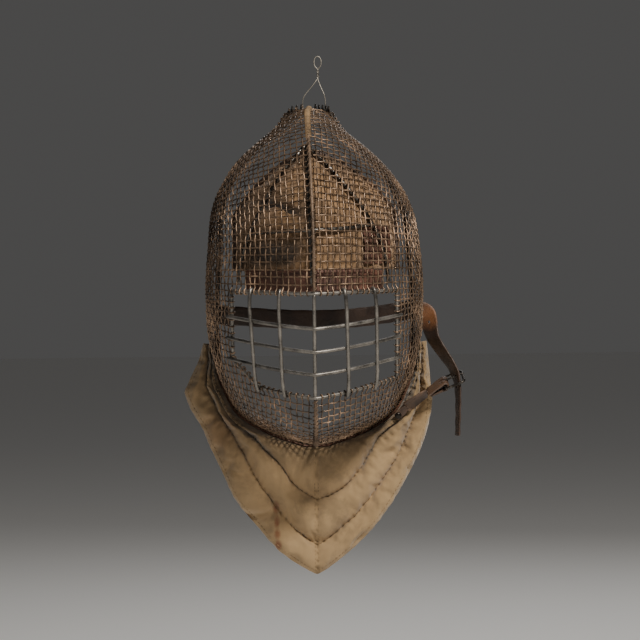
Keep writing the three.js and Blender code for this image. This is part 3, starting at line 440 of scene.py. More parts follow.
def wobble(points, amount, length):
    """Small smooth shifts of points, for hand-made unevenness about length long."""
    turns = np.asarray(points, float) * (2 * math.pi / length)
    x, y, z = turns[..., 0], turns[..., 1], turns[..., 2]
    shift = np.stack(
        (
            np.sin(0.91 * x + 1.3 * z + 0.7) * np.cos(1.17 * y + 0.4),
            np.sin(1.07 * y + 0.83 * z + 2.1) * np.cos(1.31 * x + 1.9),
            np.sin(1.23 * z + 0.97 * x + 4.4) * np.cos(0.79 * y + 3.1),
        ),
        -1,
    )
    return shift * amount


def extended(points):
    """The points and one more past each end."""
    return np.vstack((2 * points[0] - points[1], points, 2 * points[-1] - points[-2]))


def spline(a, b, c, d, t):
    """Smooth curve from b to c at the shares t of the way."""
    curve = 2 * b + (c - a) * t + (2 * a - 5 * b + 4 * c - d) * t**2
    return (curve + (3 * b - a - 3 * c + d) * t**3) / 2


def catmull(points, count):
    """Smooth path through points, with count even steps along its length."""
    around = extended(np.asarray(points, float))
    t = np.linspace(0, 1, 13)[:-1, None]
    parts = [spline(*around[i : i + 4], t) for i in range(len(around) - 3)]
    return resample(np.vstack([*parts, around[-2][None]]), count)


def lengths_along(points):
    """Length from the first point of a path to each of its points."""
    return np.concatenate(([0], np.cumsum(np.linalg.norm(np.diff(points, axis=0), axis=1))))


def points_at(points, lengths, at):
    return np.stack([np.interp(at, lengths, points[:, i]) for i in range(3)], -1)


def resample(points, count):
    """The same path with count even steps."""
    points = np.asarray(points, float)
    lengths = lengths_along(points)
    return points_at(points, lengths, np.linspace(0, lengths[-1], count + 1))


def path_length(points):
    return float(np.linalg.norm(np.diff(np.asarray(points, float), axis=0), axis=1).sum())


def tangents_of(points):
    points = np.asarray(points, float)
    return unit(np.gradient(points, axis=0))


# Making and finishing pieces


def row_points(points):
    """Millimetre points of the mask as metres in the row frame."""
    return (np.asarray(points, float) - (EYE_OFFSET, 0, 0)) / 1000


def make_active(obj):
    bpy.ops.object.select_all(action="DESELECT")
    obj.select_set(True)
    bpy.context.view_layer.objects.active = obj


def new_mesh(name, points, faces):
    mesh = bpy.data.meshes.new(name)
    mesh.from_pydata(row_points(points).tolist(), [], [list(face) for face in faces])
    mesh.update()
    obj = bpy.data.objects.new(name, mesh)
    bpy.context.scene.collection.objects.link(obj)
    return obj


def vertex_values(obj, field="co"):
    """Places or normals of a piece's vertices."""
    values = np.empty(len(obj.data.vertices) * 3)
    obj.data.vertices.foreach_get(field, values)
    return values.reshape(-1, 3)


def mask_points(obj):
    """Vertices of a piece as millimetre points of the mask."""
    return vertex_values(obj) * 1000 + (EYE_OFFSET, 0, 0)


def move_vertices(obj, places):
    obj.data.vertices.foreach_set("co", places.ravel())
    obj.data.update()


def turn_outwards(obj):
    make_active(obj)
    bpy.ops.object.mode_set(mode="EDIT")
    bpy.ops.mesh.select_all(action="SELECT")
    bpy.ops.mesh.normals_make_consistent(inside=False)
    bpy.ops.object.mode_set(mode="OBJECT")


def apply_modifier(obj, kind, **settings):
    make_active(obj)
    modifier = obj.modifiers.new(kind.lower(), kind)
    for name, value in settings.items():
        setattr(modifier, name, value)
    bpy.ops.object.modifier_apply(modifier=modifier.name)


def subdivide(obj, levels=1):
    apply_modifier(obj, "SUBSURF", levels=levels, render_levels=levels)


def smooth(obj, angle=50):
    make_active(obj)
    bpy.ops.object.shade_smooth_by_angle(angle=math.radians(angle))


def join(name, *objs):
    make_active(objs[0])
    for obj in objs:
        obj.select_set(True)
    bpy.ops.object.join()
    objs[0].name = name
    objs[0].data.name = name
    return objs[0]


def wires(name, paths, radius, resolution=1, closed=False):
    """One mesh of round wires; a path is its points, or its points and their radius shares."""
    curve = bpy.data.curves.new(name, "CURVE")
    curve.dimensions = "3D"
    curve.bevel_depth = radius / 1000
    curve.bevel_resolution = resolution
    curve.use_fill_caps = True
    for path in paths:
        points, shares = path if isinstance(path, tuple) else (path, None)
        spline = curve.splines.new("POLY")
        spline.points.add(len(points) - 1)
        corners = np.ones((len(points), 4))
        corners[:, :3] = row_points(points)
        spline.points.foreach_set("co", corners.ravel())
        if shares is not None:
            spline.points.foreach_set("radius", np.asarray(shares, float))
        spline.use_cyclic_u = closed
    obj = bpy.data.objects.new(name, curve)
    bpy.context.scene.collection.objects.link(obj)
    make_active(obj)
    bpy.ops.object.convert(target="MESH")
    made = bpy.context.view_layer.objects.active
    made.name = name
    made.data.polygons.foreach_set("use_smooth", [True] * len(made.data.polygons))
    return made


def rounded(points, radius):
    """A path with domed ends for a bar of that radius."""
    points = np.asarray(points, float)
    first = unit(points[1] - points[0])
    last = unit(points[-1] - points[-2])
    turns = np.radians((80, 55, 28))
    starts = [points[0] + first * radius * (1 - math.sin(turn)) for turn in turns]
    ends = [points[-1] - last * radius * (1 - math.sin(turn)) for turn in turns[::-1]]
    shares = np.cos(turns)
    body = points[1:-1]
    path = np.vstack((starts, body, ends))
    return path, np.concatenate((shares, np.ones(len(body)), shares[::-1]))


def ring_solid(name, rings, closed=False):
    """Skin over rings with the same number of points, capped unless it is a loop."""
    rings = np.asarray(rings, float)
    count, sides = rings.shape[:2]
    index = np.arange(count * sides).reshape(count, sides)
    after = np.roll(index, -1, axis=0) if closed else index[1:]
    before = index if closed else index[:-1]
    quads = np.stack(
        (before, np.roll(before, -1, axis=1), np.roll(after, -1, axis=1), after), -1,
    ).reshape(-1, 4)
    faces = quads.tolist()
    if not closed:
        faces += [index[0][::-1].tolist(), index[-1].tolist()]
    obj = new_mesh(name, rings.reshape(-1, 3), faces)
    turn_outwards(obj)
    return obj


def grid_wall(name, front, back):
    """Closed wall between two grids of points."""
    rows, columns = front.shape[:2]
    count = rows * columns
    index = np.arange(count).reshape(rows, columns)
    quads = np.stack((index[:-1, :-1], index[1:, :-1], index[1:, 1:], index[:-1, 1:]), -1)
    quads = quads.reshape(-1, 4)
    edge = np.concatenate((index[0], index[1:, -1], index[-1, -2::-1], index[-2:0:-1, 0]))
    sides = np.stack((edge, np.roll(edge, -1), np.roll(edge, -1) + count, edge + count), -1)
    faces = np.vstack((quads, quads[:, ::-1] + count, sides)).tolist()
    obj = new_mesh(name, np.vstack((front.reshape(-1, 3), back.reshape(-1, 3))), faces)
    turn_outwards(obj)
    return obj


def finish_piece(obj, slot, material, *nodes):
    """Gives a piece its finish and its body, and hides the nodes that it stands for."""
    obj.data.materials.clear()
    obj.data.materials.append(material)
    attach(obj, "root")
    if nodes:
        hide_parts(*nodes)
    return obj


# Finishes


def linear(code):
    """Linear colour of an sRGB hex code."""
    channels = [int(code[i : i + 2], 16) / 255 for i in (0, 2, 4)]
    return tuple(c / 12.92 if c <= 0.04045 else ((c + 0.055) / 1.055) ** 2.4 for c in channels)


def per_mm(size):
    """Texture scale of a pattern whose features are size millimetres on Object coordinates."""
    return 1000 / size


def add_node(tree, kind, values=None, links=None, stops=None, **settings):
    """A node with its settings, socket values, links from outputs and colour stops."""
    made = tree.nodes.new(kind)
    for name, value in settings.items():
        setattr(made, name, value)
    for socket, value in (values or {}).items():
        made.inputs[socket].default_value = value
    for socket, source in (links or {}).items():
        tree.links.new(source, made.inputs[socket])
    for i, (place, colour) in enumerate(stops or ()):
        elements = made.color_ramp.elements
        stop = elements[i] if i < len(elements) else elements.new(place)
        stop.position = place
        stop.color = (*colour, 1)
    return made


def new_material(name, metallic, roughness, sheen=0.0):
    """A material with its shader and the object's own coordinates."""
    material = bpy.data.materials.new(name)
    material.use_nodes = True
    tree = material.node_tree
    tree.nodes.clear()
    shader = add_node(
        tree, "ShaderNodeBsdfPrincipled",
        {"Metallic": metallic, "Roughness": roughness, "Sheen Weight": sheen},
    )
    add_node(tree, "ShaderNodeOutputMaterial", links={"Surface": shader.outputs[0]})
    place = add_node(tree, "ShaderNodeTexCoord").outputs["Object"]
    return material, tree, shader, place


def shade(colour, share):
    """The same colour, darker below 1 and lighter above it."""
    return tuple(min(channel * share, 1) for channel in colour)


def shades(colour, *shares):
    """Shades of one colour, from the hollows' to the rubbed places'."""
    return [shade(colour, share) for share in shares]


def join_bump(tree, shader, height, distance, strength=1.0, under=None):
    bump = add_node(
        tree, "ShaderNodeBump", {"Strength": strength, "Distance": distance / 1000},
        {"Height": height, **({"Normal": under} if under else {})},
    )
    tree.links.new(bump.outputs[0], shader.inputs["Normal"])
    return bump.outputs[0]


def weathered(name, colours, patch, grain, roughness, metallic, relief):
    """Patchy finish: colours run from the hollows' to the rubbed places', roughness is a range,
    patch, grain and relief are real sizes in millimetres."""
    material, tree, shader, place = new_material(name, metallic, roughness[0])
    patches = add_node(
        tree, "ShaderNodeTexNoise",
        {"Scale": per_mm(patch), "Detail": 5, "Roughness": 0.6, "Distortion": 0.4},
        {"Vector": place},
    )
    grains = add_node(
        tree, "ShaderNodeTexNoise", {"Scale": per_mm(grain), "Detail": 3, "Roughness": 0.65},
        {"Vector": place},
    )
    both = add_node(
        tree, "ShaderNodeMath", {1: 0.45}, {0: grains.outputs["Fac"], 2: patches.outputs["Fac"]},
        operation="MULTIPLY_ADD",
    )
    spread = np.linspace(0.55, 0.92, len(colours))
    ramp = add_node(
        tree, "ShaderNodeValToRGB", links={"Fac": both.outputs[0]},
        stops=list(zip(spread, colours)),
    )
    tree.links.new(ramp.outputs["Color"], shader.inputs["Base Color"])
    rough = add_node(
        tree, "ShaderNodeMapRange",
        {"From Min": 0.35, "From Max": 0.65, "To Min": roughness[1], "To Max": roughness[0]},
        {"Value": patches.outputs["Fac"]},
    )
    tree.links.new(rough.outputs["Result"], shader.inputs["Roughness"])
    join_bump(tree, shader, grains.outputs["Fac"], relief)
    return material


def spotted(tree, place, colour, speckle, stains):
    """Ragged round spots over a colour: place and size in millimetres, strength, colour."""
    for (x, y, z), (wide, tall), strength, stain in stains:
        spot = add_node(
            tree, "ShaderNodeMapping",
            {"Location": tuple(row_points((x, y, z))), "Scale": (wide / 1000, 0.03, tall / 1000)},
            {"Vector": place}, vector_type="TEXTURE",
        )
        round_spot = add_node(
            tree, "ShaderNodeTexGradient", links={"Vector": spot.outputs[0]},
            gradient_type="SPHERICAL",
        )
        ragged = add_node(
            tree, "ShaderNodeMath", links={0: round_spot.outputs["Fac"], 1: speckle.outputs["Fac"]},
            operation="MULTIPLY",
        )
        edge = add_node(
            tree, "ShaderNodeMapRange", {"From Min": 0.08, "From Max": 0.34, "To Max": strength},
            {"Value": ragged.outputs[0]},
        )
        colour = add_node(
            tree, "ShaderNodeMixRGB", {"Color2": (*stain, 1)},
            {"Fac": edge.outputs["Result"], "Color1": colour},
        ).outputs["Color"]
    return colour


def leather(name, colours, wear, roughness, stains=()):
    """Vegetable-tanned hide: pebbled grain, long creases and lighter rubbed places."""
    material, tree, shader, place = new_material(name, 0, roughness)
    # Hide grain is about 0.8 mm; drawn at 1.4 mm so that it shows.
    pebbles = add_node(
        tree, "ShaderNodeTexVoronoi", {"Scale": per_mm(1.4), "Randomness": 1}, {"Vector": place},
        feature="DISTANCE_TO_EDGE",
    )
    # Creases come about 9 mm apart, and rubbed places are about 26 mm across.
    creases = add_node(
        tree, "ShaderNodeTexNoise",
        {"Scale": per_mm(9), "Detail": 6, "Roughness": 0.7, "Distortion": 1.6}, {"Vector": place},
    )
    patches = add_node(
        tree, "ShaderNodeTexNoise", {"Scale": per_mm(26), "Detail": 4, "Roughness": 0.6},
        {"Vector": place},
    )
    mixed = add_node(
        tree, "ShaderNodeMath", {1: 0.5}, {0: creases.outputs["Fac"], 2: patches.outputs["Fac"]},
        operation="MULTIPLY_ADD",
    )
    spread = np.linspace(0.6, 0.6 + wear, len(colours))
    ramp = add_node(
        tree, "ShaderNodeValToRGB", links={"Fac": mixed.outputs[0]},
        stops=list(zip(spread, colours)),
    )
    colour = spotted(tree, place, ramp.outputs["Color"], creases, stains)
    tree.links.new(colour, shader.inputs["Base Color"])
    grain = join_bump(tree, shader, pebbles.outputs["Distance"], 0.3, 0.5)
    join_bump(tree, shader, creases.outputs["Fac"], 0.9, 0.8, grain)
    return material


def canvas(name, colours, thread, contrast, soil_and_shade_colour, stains=()):
    """Plain-woven cotton: two thread directions, slubs, faded and grimy patches, rust stains, and
    painted shade where the soil_and_shade attribute is high.
    """
    material, tree, shader, place = new_material(name, 0, 0.92, sheen=0.25)
    bands = []
    for axis in ("X", "Z"):
        bands.append(
            add_node(
                tree, "ShaderNodeTexWave",
                {"Scale": per_mm(thread) * WAVE_TURN, "Distortion": 0.6, "Detail": 1.5},
                {"Vector": place}, bands_direction=axis,
            ).outputs["Fac"]
        )
    weave = add_node(tree, "ShaderNodeMath", links={0: bands[0], 1: bands[1]}, operation="ADD")
    # Faded places are about 45 mm across, and specks of dirt about 7 mm.
    patches = add_node(
        tree, "ShaderNodeTexNoise",
        {"Scale": per_mm(45), "Detail": 6, "Roughness": 0.62, "Distortion": 0.5}, {"Vector": place},
    )
    ramp = add_node(
        tree, "ShaderNodeValToRGB", links={"Fac": patches.outputs["Fac"]},
        stops=list(zip(np.linspace(0.36, 0.66, len(colours)), colours)),
    )
    thread_shade = add_node(
        tree, "ShaderNodeMapRange",
        {"From Min": 0.2, "From Max": 1.5, "To Min": 1 - contrast, "To Max": 1 + contrast / 3},
        {"Value": weave.outputs[0]},
    )
    shaded = add_node(
        tree, "ShaderNodeMixRGB", {"Fac": 1},
        {"Color1": ramp.outputs["Color"], "Color2": thread_shade.outputs["Result"]},
        blend_type="MULTIPLY",
    )
    # The soil_and_shade attribute mixes in one dark colour, both for soiling and for painted
    # shadows and shade.
    soil_and_shade = add_node(tree, "ShaderNodeAttribute", attribute_name="soil_and_shade")
    speckle = add_node(
        tree, "ShaderNodeTexNoise", {"Scale": per_mm(7), "Detail": 6, "Roughness": 0.75},
        {"Vector": place},
    )
    soil_and_shade_share = add_node(
        tree, "ShaderNodeMath", links={0: soil_and_shade.outputs["Fac"], 1: speckle.outputs["Fac"]},
        operation="MULTIPLY",
    )
    colour = add_node(
        tree, "ShaderNodeMixRGB", {"Color2": (*soil_and_shade_colour, 1)},
        {"Fac": soil_and_shade_share.outputs[0], "Color1": shaded.outputs["Color"]},
    ).outputs["Color"]
    colour = spotted(tree, place, colour, speckle, stains)
    tree.links.new(colour, shader.inputs["Base Color"])
    under = join_bump(tree, shader, weave.outputs[0], 0.4 * contrast * thread, 0.6)
    join_bump(tree, shader, speckle.outputs["Fac"], 0.8, 0.35, under)
    return material


# Wire cloth, seams and rim

SECTION_CACHE = {}


def section_table(along):
    key = round(float(along), 2)
    if key not in SECTION_CACHE:
        SECTION_CACHE[key] = section_lengths(key)
    return SECTION_CACHE[key]


def angle_at_length(along, length):
    angles, lengths = section_table(along)
    return float(np.interp(length, lengths, angles))


def section_total(along):
    return section_table(along)[1][-1]


def window_length(along, side):
    angles, lengths = section_table(along)
    angle = float(angle_across(along, visor_half_width(along, side)))
    return float(np.interp(angle, angles, lengths))


def cloth_place(along, length, side, offset=0.0):
    angle = angle_at_length(along, length)
    return cloth_offset(np.float64(along), np.float64(angle), side, offset)


def hook(centre, travel, normal, radius, front=1):
    """End of a wire bent round a bar at centre, towards which the wire travels."""
    turns = np.radians(HOOK_TURNS)[:, None]
    return centre + radius * (front * unit(normal) * np.sin(turns) - unit(travel) * np.cos(turns))


def uneven(number, side, amount):
    """The same small shift each run for a wire of that number."""
    return amount * math.sin(number * 12.9898 + side * 4.1) * math.cos(number * 3.71 + 1.3)


def window_span(length, side):
    """Keel lengths between which a wire at that length from the keel would cross the visor."""
    alongs = np.linspace(VISOR_TOP_ALONG, VISOR_BOTTOM_ALONG, 50)
    inside = [along for along in alongs if length < window_length(along, side)]
    return (inside[0], inside[-1]) if inside else None


def end_hook(points, centre, normal, radius, front):
    travel = centre - points[-1]
    travel = travel - unit(normal) * float(np.dot(travel, unit(normal)))
    return hook(centre, travel, normal, radius, front)


def weave_sizes(sizes):
    """Pitch across and down, radius of the wire, radii of its hooks round a bar and the rim."""
    radius = sizes.wire_diameter * 500
    bar_hook = sizes.visor_bar_diameter * 500 + radius
    rim_hook = sizes.rim_diameter * 500 + radius
    return sizes.gap_across * 1000, sizes.gap_down * 1000, radius, bar_hook, rim_hook


def upright_wires(side, sizes):
    """Wires that run from the crown to the chin at even distances from the keel."""
    across, down, radius, bar_hook, rim_hook = weave_sizes(sizes)
    fine = np.linspace(0.5, KEEL_LENGTH - 0.5, 400)
    totals = np.array([section_total(along) for along in fine])
    paths = []
    for column in range(1, int(totals.max() / across) + 1):
        length = column * across + uneven(column, side, UPRIGHT_STRAY)
        reached = np.nonzero(totals >= length)[0]
        if len(reached) < 8:
            continue
        start, end = fine[reached[0]], fine[reached[-1]]
        window = window_span(length, side)
        spans = [(start, end)] if window is None else [(start, window[0]), (window[1], end)]
        for first, last in spans:
            top_row = math.ceil((first + END_CLEAR) / down * 2)
            rows = np.arange(top_row, int((last - END_CLEAR) / down * 2) + 1)
            if len(rows) < 3:
                continue
            over = np.cos(rows * math.pi / 2) * (-1) ** column
            points = np.array(
                [
                    cloth_place(row * down / 2, length, side, radius * WEAVE_RISE * share)
                    for row, share in zip(rows, over)
                ]
            )
            path = [points]
            for at, body, first_end in ((first, points[::-1], True), (last, points, False)):
                centre = cloth_place(at, length, side)
                normal = cloth_normal(np.float64(at), angle_at_length(at, length), side)
                at_window = window is not None and at in window
                reach = bar_hook if at_window else rim_hook
                if at < 1:
                    reach = CROWN_CURL
                front = 1 if at < 1 or at_window or column % 2 else -1
                end_points = end_hook(body, centre, normal, reach, front)
                if first_end:
                    path.insert(0, end_points[::-1])
                else:
                    path.append(end_points)
            path = np.vstack(path)
            paths.append(path + wobble(path, *DENTS))
    return paths


def level_wires(side, sizes):
    """Wires that run from the keel to the rim at even distances down the keel."""
    across, down, radius, bar_hook, rim_hook = weave_sizes(sizes)
    paths = []
    for row in range(1, int(KEEL_LENGTH / down) + 1):
        along = row * down
        shifted = along + uneven(row, side, LEVEL_STRAY)
        total = section_total(shifted)
        in_window = VISOR_TOP_ALONG + 2 < along < VISOR_BOTTOM_ALONG - 2
        first = window_length(shifted, side) if in_window else 0
        clear = END_CLEAR if in_window else 0.5
        columns = np.arange(math.ceil((first + clear) / across * 2), 999)
        columns = columns[columns * across / 2 < total - END_CLEAR]
        if len(columns) < 2:
            continue
        over = -np.cos(columns * math.pi / 2) * (-1) ** row
        points = np.array(
            [
                cloth_place(shifted, column * across / 2, side, radius * WEAVE_RISE * share)
                for column, share in zip(columns, over)
            ]
        )
        path = [points]
        if in_window:
            centre = cloth_place(shifted, first, side)
            normal = cloth_normal(np.float64(shifted), angle_at_length(shifted, first), side)
            path.insert(0, end_hook(points[::-1], centre, normal, bar_hook, 1)[::-1])
        centre = cloth_point(np.float64(shifted), wrap_at(shifted), side)
        normal = cloth_normal(np.float64(shifted), wrap_at(shifted), side)
        path.append(end_hook(points, centre, normal, rim_hook, 1 if row % 2 else -1))
        path = np.vstack(path)
        paths.append(path + wobble(path, *DENTS))
    return paths


def make_wire_cloth(sizes, colours):
    # Drawn steel, long rusted: brown in the pits, with bright points where it is rubbed; the
    # brightest shade is also a painted highlight.
    finish = weathered(
        "Rusted steel wire", shades(colours.wire, 0.3, 0.8, 1.15, 2.4), patch=24, grain=1.6,
        roughness=(0.5, 0.26), metallic=0.65, relief=0.12,
    )
    for side, name in ((-1, "left"), (1, "right")):
        paths = upright_wires(side, sizes) + level_wires(side, sizes)
        cloth = wires(f"wire_cloth_{name}", paths, sizes.wire_diameter * 500)
        finish_piece(cloth, "wire_cloth", finish, f"net_{name}")


def helix(alongs, turn_length, half_width, half_depth, offset):
    """Path that winds round the keel between two keel lengths."""
    steps = int((alongs[1] - alongs[0]) / turn_length * 8)
    at = np.linspace(*alongs, steps)
    turn = (at - alongs[0]) / turn_length * 2 * math.pi
    return point_across(at, half_width * np.cos(turn), offset + half_depth * np.sin(turn))


def make_seams(sizes, colours):
    # Twisted flax under old wax: tawny, dull, darker where dirt sits in the turns.
    finish = weathered(
        "Waxed linen twine", shades(colours.twine, 0.4, 1, 1.5), patch=12, grain=0.9,
        roughness=(0.8, 0.62), metallic=0, relief=0.15,
    )
    # Softer iron wire: an even dull brown with little shine.
    iron = weathered(
        "Rusted seam wire", shades(colours.wire, 0.3, 0.8, 1.3), patch=18, grain=1.5,
        roughness=(0.7, 0.5), metallic=0.5, relief=0.15,
    )
    lashed_end = VISOR_TOP_ALONG * LASHED_SHARE
    foot = VISOR_TOP_ALONG - 2
    cords = [point_across(np.linspace(2.5, lashed_end, 60), across, 0.4) for across in (-1.2, 1.2)]
    lashing = wires("keel_lashing", [*cords, helix((3, lashed_end), *LASHING_COIL)], 0.68)
    finish_piece(lashing, "lashing", finish, "keel_seam")
    core = point_across(np.linspace(lashed_end - 4, foot, 80), 0, 0.6)
    stem = wires("keel_wire", [core], KEEL_WIRE, 2)
    binding = helix((lashed_end, foot), *KEEL_COIL)
    finish_piece(join("keel_wire", stem, wires("keel_coil", [binding], 0.55)), "wire_cloth", iron)
    chin = (VISOR_BOTTOM_ALONG + 2, KEEL_LENGTH - 2.4)
    core = point_across(np.linspace(*chin, 60), 0, 0.5)
    stem = wires("chin_wire", [core], KEEL_WIRE, 2)
    coil = wires("chin_coil", [helix(chin, *CHIN_COIL)], 0.6)
    finish_piece(join("chin_lashing", stem, coil), "lashing", iron, "chin_seam")


def rim_line(start=0.0, steps=170):
    """Keel lengths, sides and points of the rim down the right side and up the left one."""
    alongs = np.linspace(start, KEEL_LENGTH, steps)
    right = cloth_point(alongs, wrap_at(alongs), 1)
    left = cloth_point(alongs, wrap_at(alongs), -1)
    places = np.concatenate((alongs, alongs[::-1]))
    sides = np.concatenate((np.ones(steps), -np.ones(steps)))
    return places, sides, np.vstack((right, left[::-1]))


def make_rim(sizes, colours):
    # Hot-rolled rod: near black, with brown rust and a faint shine on its round.
    iron = weathered(
        "Rusted iron rod", (*shades(colours.iron, 0.4, 1), shade(colours.wire, 0.6)), patch=20,
        grain=1.4, roughness=(0.7, 0.42), metallic=0.6, relief=0.15,
    )
    _, _, points = rim_line()
    rod = wires("rim_rod", [points], sizes.rim_diameter * 500, 2, closed=True)
    turns = np.linspace(-0.6, 5.2, 20)
    loop = np.stack((0.3 * turns, 3.2 * np.cos(turns), 0.9 + 3.4 * np.sin(turns)), -1)
    loops = [crown_edge(across) + loop for across in CROWN_LOOPS]
    rim = join("rim_iron", rod, wires("crown_loops", loops, LOOP_WIRE, 2))
    finish_piece(rim, "rim_iron", iron, "rim_wire")

    # Thin hide folded over the rim: warm dark red-brown, lighter along its ripples.
    hide = leather(
        "Red-brown binding leather", shades(colours.binding, 0.35, 1, 1.6), wear=0.5,
        roughness=0.62,
    )
    places, sides, points = rim_line(keel_at_drop(BINDING_DROP), 120)
    points = resample(points, 260)
    at = np.linspace(0, 1, len(places))
    even = np.linspace(0, 1, len(points))
    places = np.interp(even, at, places)
    sides = np.where(even < 0.5, 1.0, -1.0)
    tangents = tangents_of(points)
    out = cloth_normal(places, wrap_at(places), sides)
    mouth = unit(np.cross(tangents, out))
    upright = unit(np.cross(mouth, tangents))
    turns = np.linspace(1.0, 2 * math.pi - 1.0, 12)
    count = len(points)
    phase = np.arange(count)
    rings = []
    for radius, way in ((BINDING_OUTER, 1), (BINDING_INNER, -1)):
        for turn in turns[::way]:
            ripple = 0.22 * np.sin(phase * 0.9 + 3 * turn) * np.sin(phase * 0.23 + turn)
            reach = (radius + ripple * (way > 0))[:, None]
            rings.append(points + mouth * reach * math.cos(turn) + upright * reach * math.sin(turn))
    binding = ring_solid("rim_leather", np.stack(rings, 1))
    smooth(binding)
    finish_piece(binding, "binding_leather", hide, "rim_binding")


# Visor and ribs


def bar_row(along, left, right, offset):
    return point_across(along, np.linspace(-left, right, 49), offset)


def make_visor(sizes, colours):
    # Soldered bright steel gone dull: grey, with brown hollows and soft highlights.
    steel = weathered(
        "Tarnished steel bar", shades(colours.visor, 0.3, 0.75, 1, 1.35), patch=14, grain=1.2,
        roughness=(0.5, 0.28), metallic=0.8, relief=0.1,
    )
    radius = sizes.visor_bar_diameter * 500
    height = VISOR_BOTTOM - VISOR_TOP
    paths = []
    end = VISOR_HALF_WIDTH + BAR_TAIL
    for share in CROSS_BARS:
        along = keel_at_drop(VISOR_TOP + share * height)
        paths.append(rounded(bar_row(along, end, end, BAR_STAND), radius))
    for top, foot, front in UPRIGHT_BARS:
        alongs = np.linspace(VISOR_TOP_ALONG, VISOR_BOTTOM_ALONG, 30)
        across = np.linspace(top, foot, 30) * VISOR_HALF_WIDTH
        stand = BAR_STAND + front * BAR_LAP
        rise = np.clip(np.minimum(np.arange(30), np.arange(30)[::-1]) / 5, 0, 1) ** 0.7
        edge = 2 * radius * 0.95 if front > 0 else -0.6 * radius
        path = point_across(alongs, across, edge + (stand - edge) * rise)
        if front > 0:
            over = [
                point_across(VISOR_TOP_ALONG - reach, across[0], offset)[None]
                for reach, offset in BAR_HOOK
            ]
            under = [
                point_across(VISOR_BOTTOM_ALONG + reach, across[-1], offset)[None]
                for reach, offset in BAR_HOOK[::-1]
            ]
            path = np.vstack((*over, path, *under))
        paths.append(rounded(path, radius * 0.95))
    for side in (-1, 1):
        above = np.linspace(VISOR_TOP_ALONG, CUT_ALONG, 26)
        below = np.linspace(CUT_ALONG, VISOR_BOTTOM_ALONG, 8)[1:]
        alongs = np.concatenate((above, below))
        across = np.array([side * visor_half_width(along, side) for along in alongs])
        paths.append(rounded(point_across(alongs, across, 0), radius))
    brow = VISOR_HALF_WIDTH + 2
    corner = VISOR_HALF_WIDTH - VISOR_CUT_WIDTH
    paths.append(rounded(bar_row(VISOR_TOP_ALONG, brow, brow, 0), radius))
    paths.append(rounded(bar_row(VISOR_BOTTOM_ALONG, corner, VISOR_HALF_WIDTH, 0), radius))
    bars = wires("visor_bars", paths, radius, 3)
    finish_piece(bars, "visor_steel", steel, "visor_grille")


def make_ribs(sizes, colours):
    # Forge-black strip worn through to steel: black and pale in patches, shiny; the pale steel
    # shades are also painted highlights.
    iron = weathered(
        "Blackened iron rib", (colours.iron, *shades(colours.visor, 0.55, 1.3)), patch=9, grain=1.2,
        roughness=(0.42, 0.2), metallic=0.75, relief=0.12,
    )
    radius = sizes.rib_diameter * 500
    paths = []
    for rows in (CENTRE_RIB, RIGHT_RIB, LEFT_RIB, CROSS_RIB):
        down, across = np.array(rows, float).T
        places = point_across(down * VISOR_TOP_ALONG, across * MESH_HALF_WIDTH, RIB_OFFSET)
        paths.append(rounded(catmull(places, 60), radius))
    ribs = wires("crown_iron_ribs", paths, radius, 3)
    finish_piece(ribs, "rib_iron", iron, "crown_ribs")


# Padded crown

# Canvas in the cloth simulation, and the frames for which it runs
CANVAS_CLOTH = {
    "quality": 7,
    "mass": 0.25,
    "tension_stiffness": 20,
    "compression_stiffness": 10,
    "shear_stiffness": 6,
    "bending_stiffness": 0.6,
}
SWELL_FRAMES = 20


def swell(obj, held, pressure, slack, cap):
    """Lets a filled piece puff up as cloth between its held points; none moves more than cap."""
    before = vertex_values(obj)
    group = obj.vertex_groups.new(name="held")
    group.add([int(i) for i in held], 1.0, "REPLACE")
    make_active(obj)
    cloth = obj.modifiers.new("cloth", "CLOTH")
    settings = {
        **CANVAS_CLOTH, "use_pressure": True, "uniform_pressure_force": pressure,
        "shrink_min": -slack, "vertex_group_mass": "held",
    }
    for name, value in settings.items():
        setattr(cloth.settings, name, value)
    cloth.settings.effector_weights.gravity = 0
    cloth.collision_settings.use_collision = False
    for step in range(1, SWELL_FRAMES + 1):
        bpy.context.scene.frame_set(step)
    bpy.ops.object.modifier_apply(modifier="cloth")
    bpy.context.scene.frame_set(1)
    moved = vertex_values(obj) - before
    reach = np.linalg.norm(moved, axis=1, keepdims=True)
    moved *= np.minimum(1, cap / 1000 / np.maximum(reach, 1e-9))
    move_vertices(obj, before + moved)


def grid_border(rows, columns):
    """Numbers of the border points of both grids of a wall."""
    index = np.arange(rows * columns).reshape(rows, columns)
    edge = np.concatenate((index[0], index[-1], index[:, 0], index[:, -1]))
    return np.unique(np.concatenate((edge, edge + rows * columns)))


def pad_points(rows, columns, offset):
    """Grid over the crown pad at its outside plus offset for each share down and across."""
    places, tops, feet = np.array(PAD_COLUMNS, float).T
    across = np.linspace(places[0], places[-1], columns)
    top = smooth_table(places, tops)(across)
    foot = smooth_table(places, feet)(across)
    share = np.linspace(0, 1, rows)[:, None]
    along = (top + share * (foot - top)) * VISOR_TOP_ALONG
    side = np.minimum(np.arange(columns), np.arange(columns)[::-1]) / (columns - 1)
    edge = np.minimum(np.minimum(share, 1 - share), side[None]) * 6
    wall = PAD_EDGE_WALL + (PAD_WALL - PAD_EDGE_WALL) * np.sqrt(np.minimum(edge, 1))
    return point_across(along, np.broadcast_to(across, along.shape) * MESH_HALF_WIDTH, offset(wall))


def store_soil_and_shade(obj, amount):
    """Stores how soiled and how deep in painted shade each point of a cloth piece is, from its
    place in millimetres.
    """
    values = np.asarray(amount(mask_points(obj)), float)
    obj.data.attributes.new("soil_and_shade", "FLOAT", "POINT").data.foreach_set("value", values.ravel())


def pad_hollow(points):
    """How far each point of the pad lies in the hollow above the torn flap, from 0 to 1."""
    x, z, slope, length, height = PAD_HOLLOW
    across = points[..., 0] - x
    down = points[..., 2] - z + slope * across
    return np.exp(-((across / length) ** 4) - (down / height) ** 2)


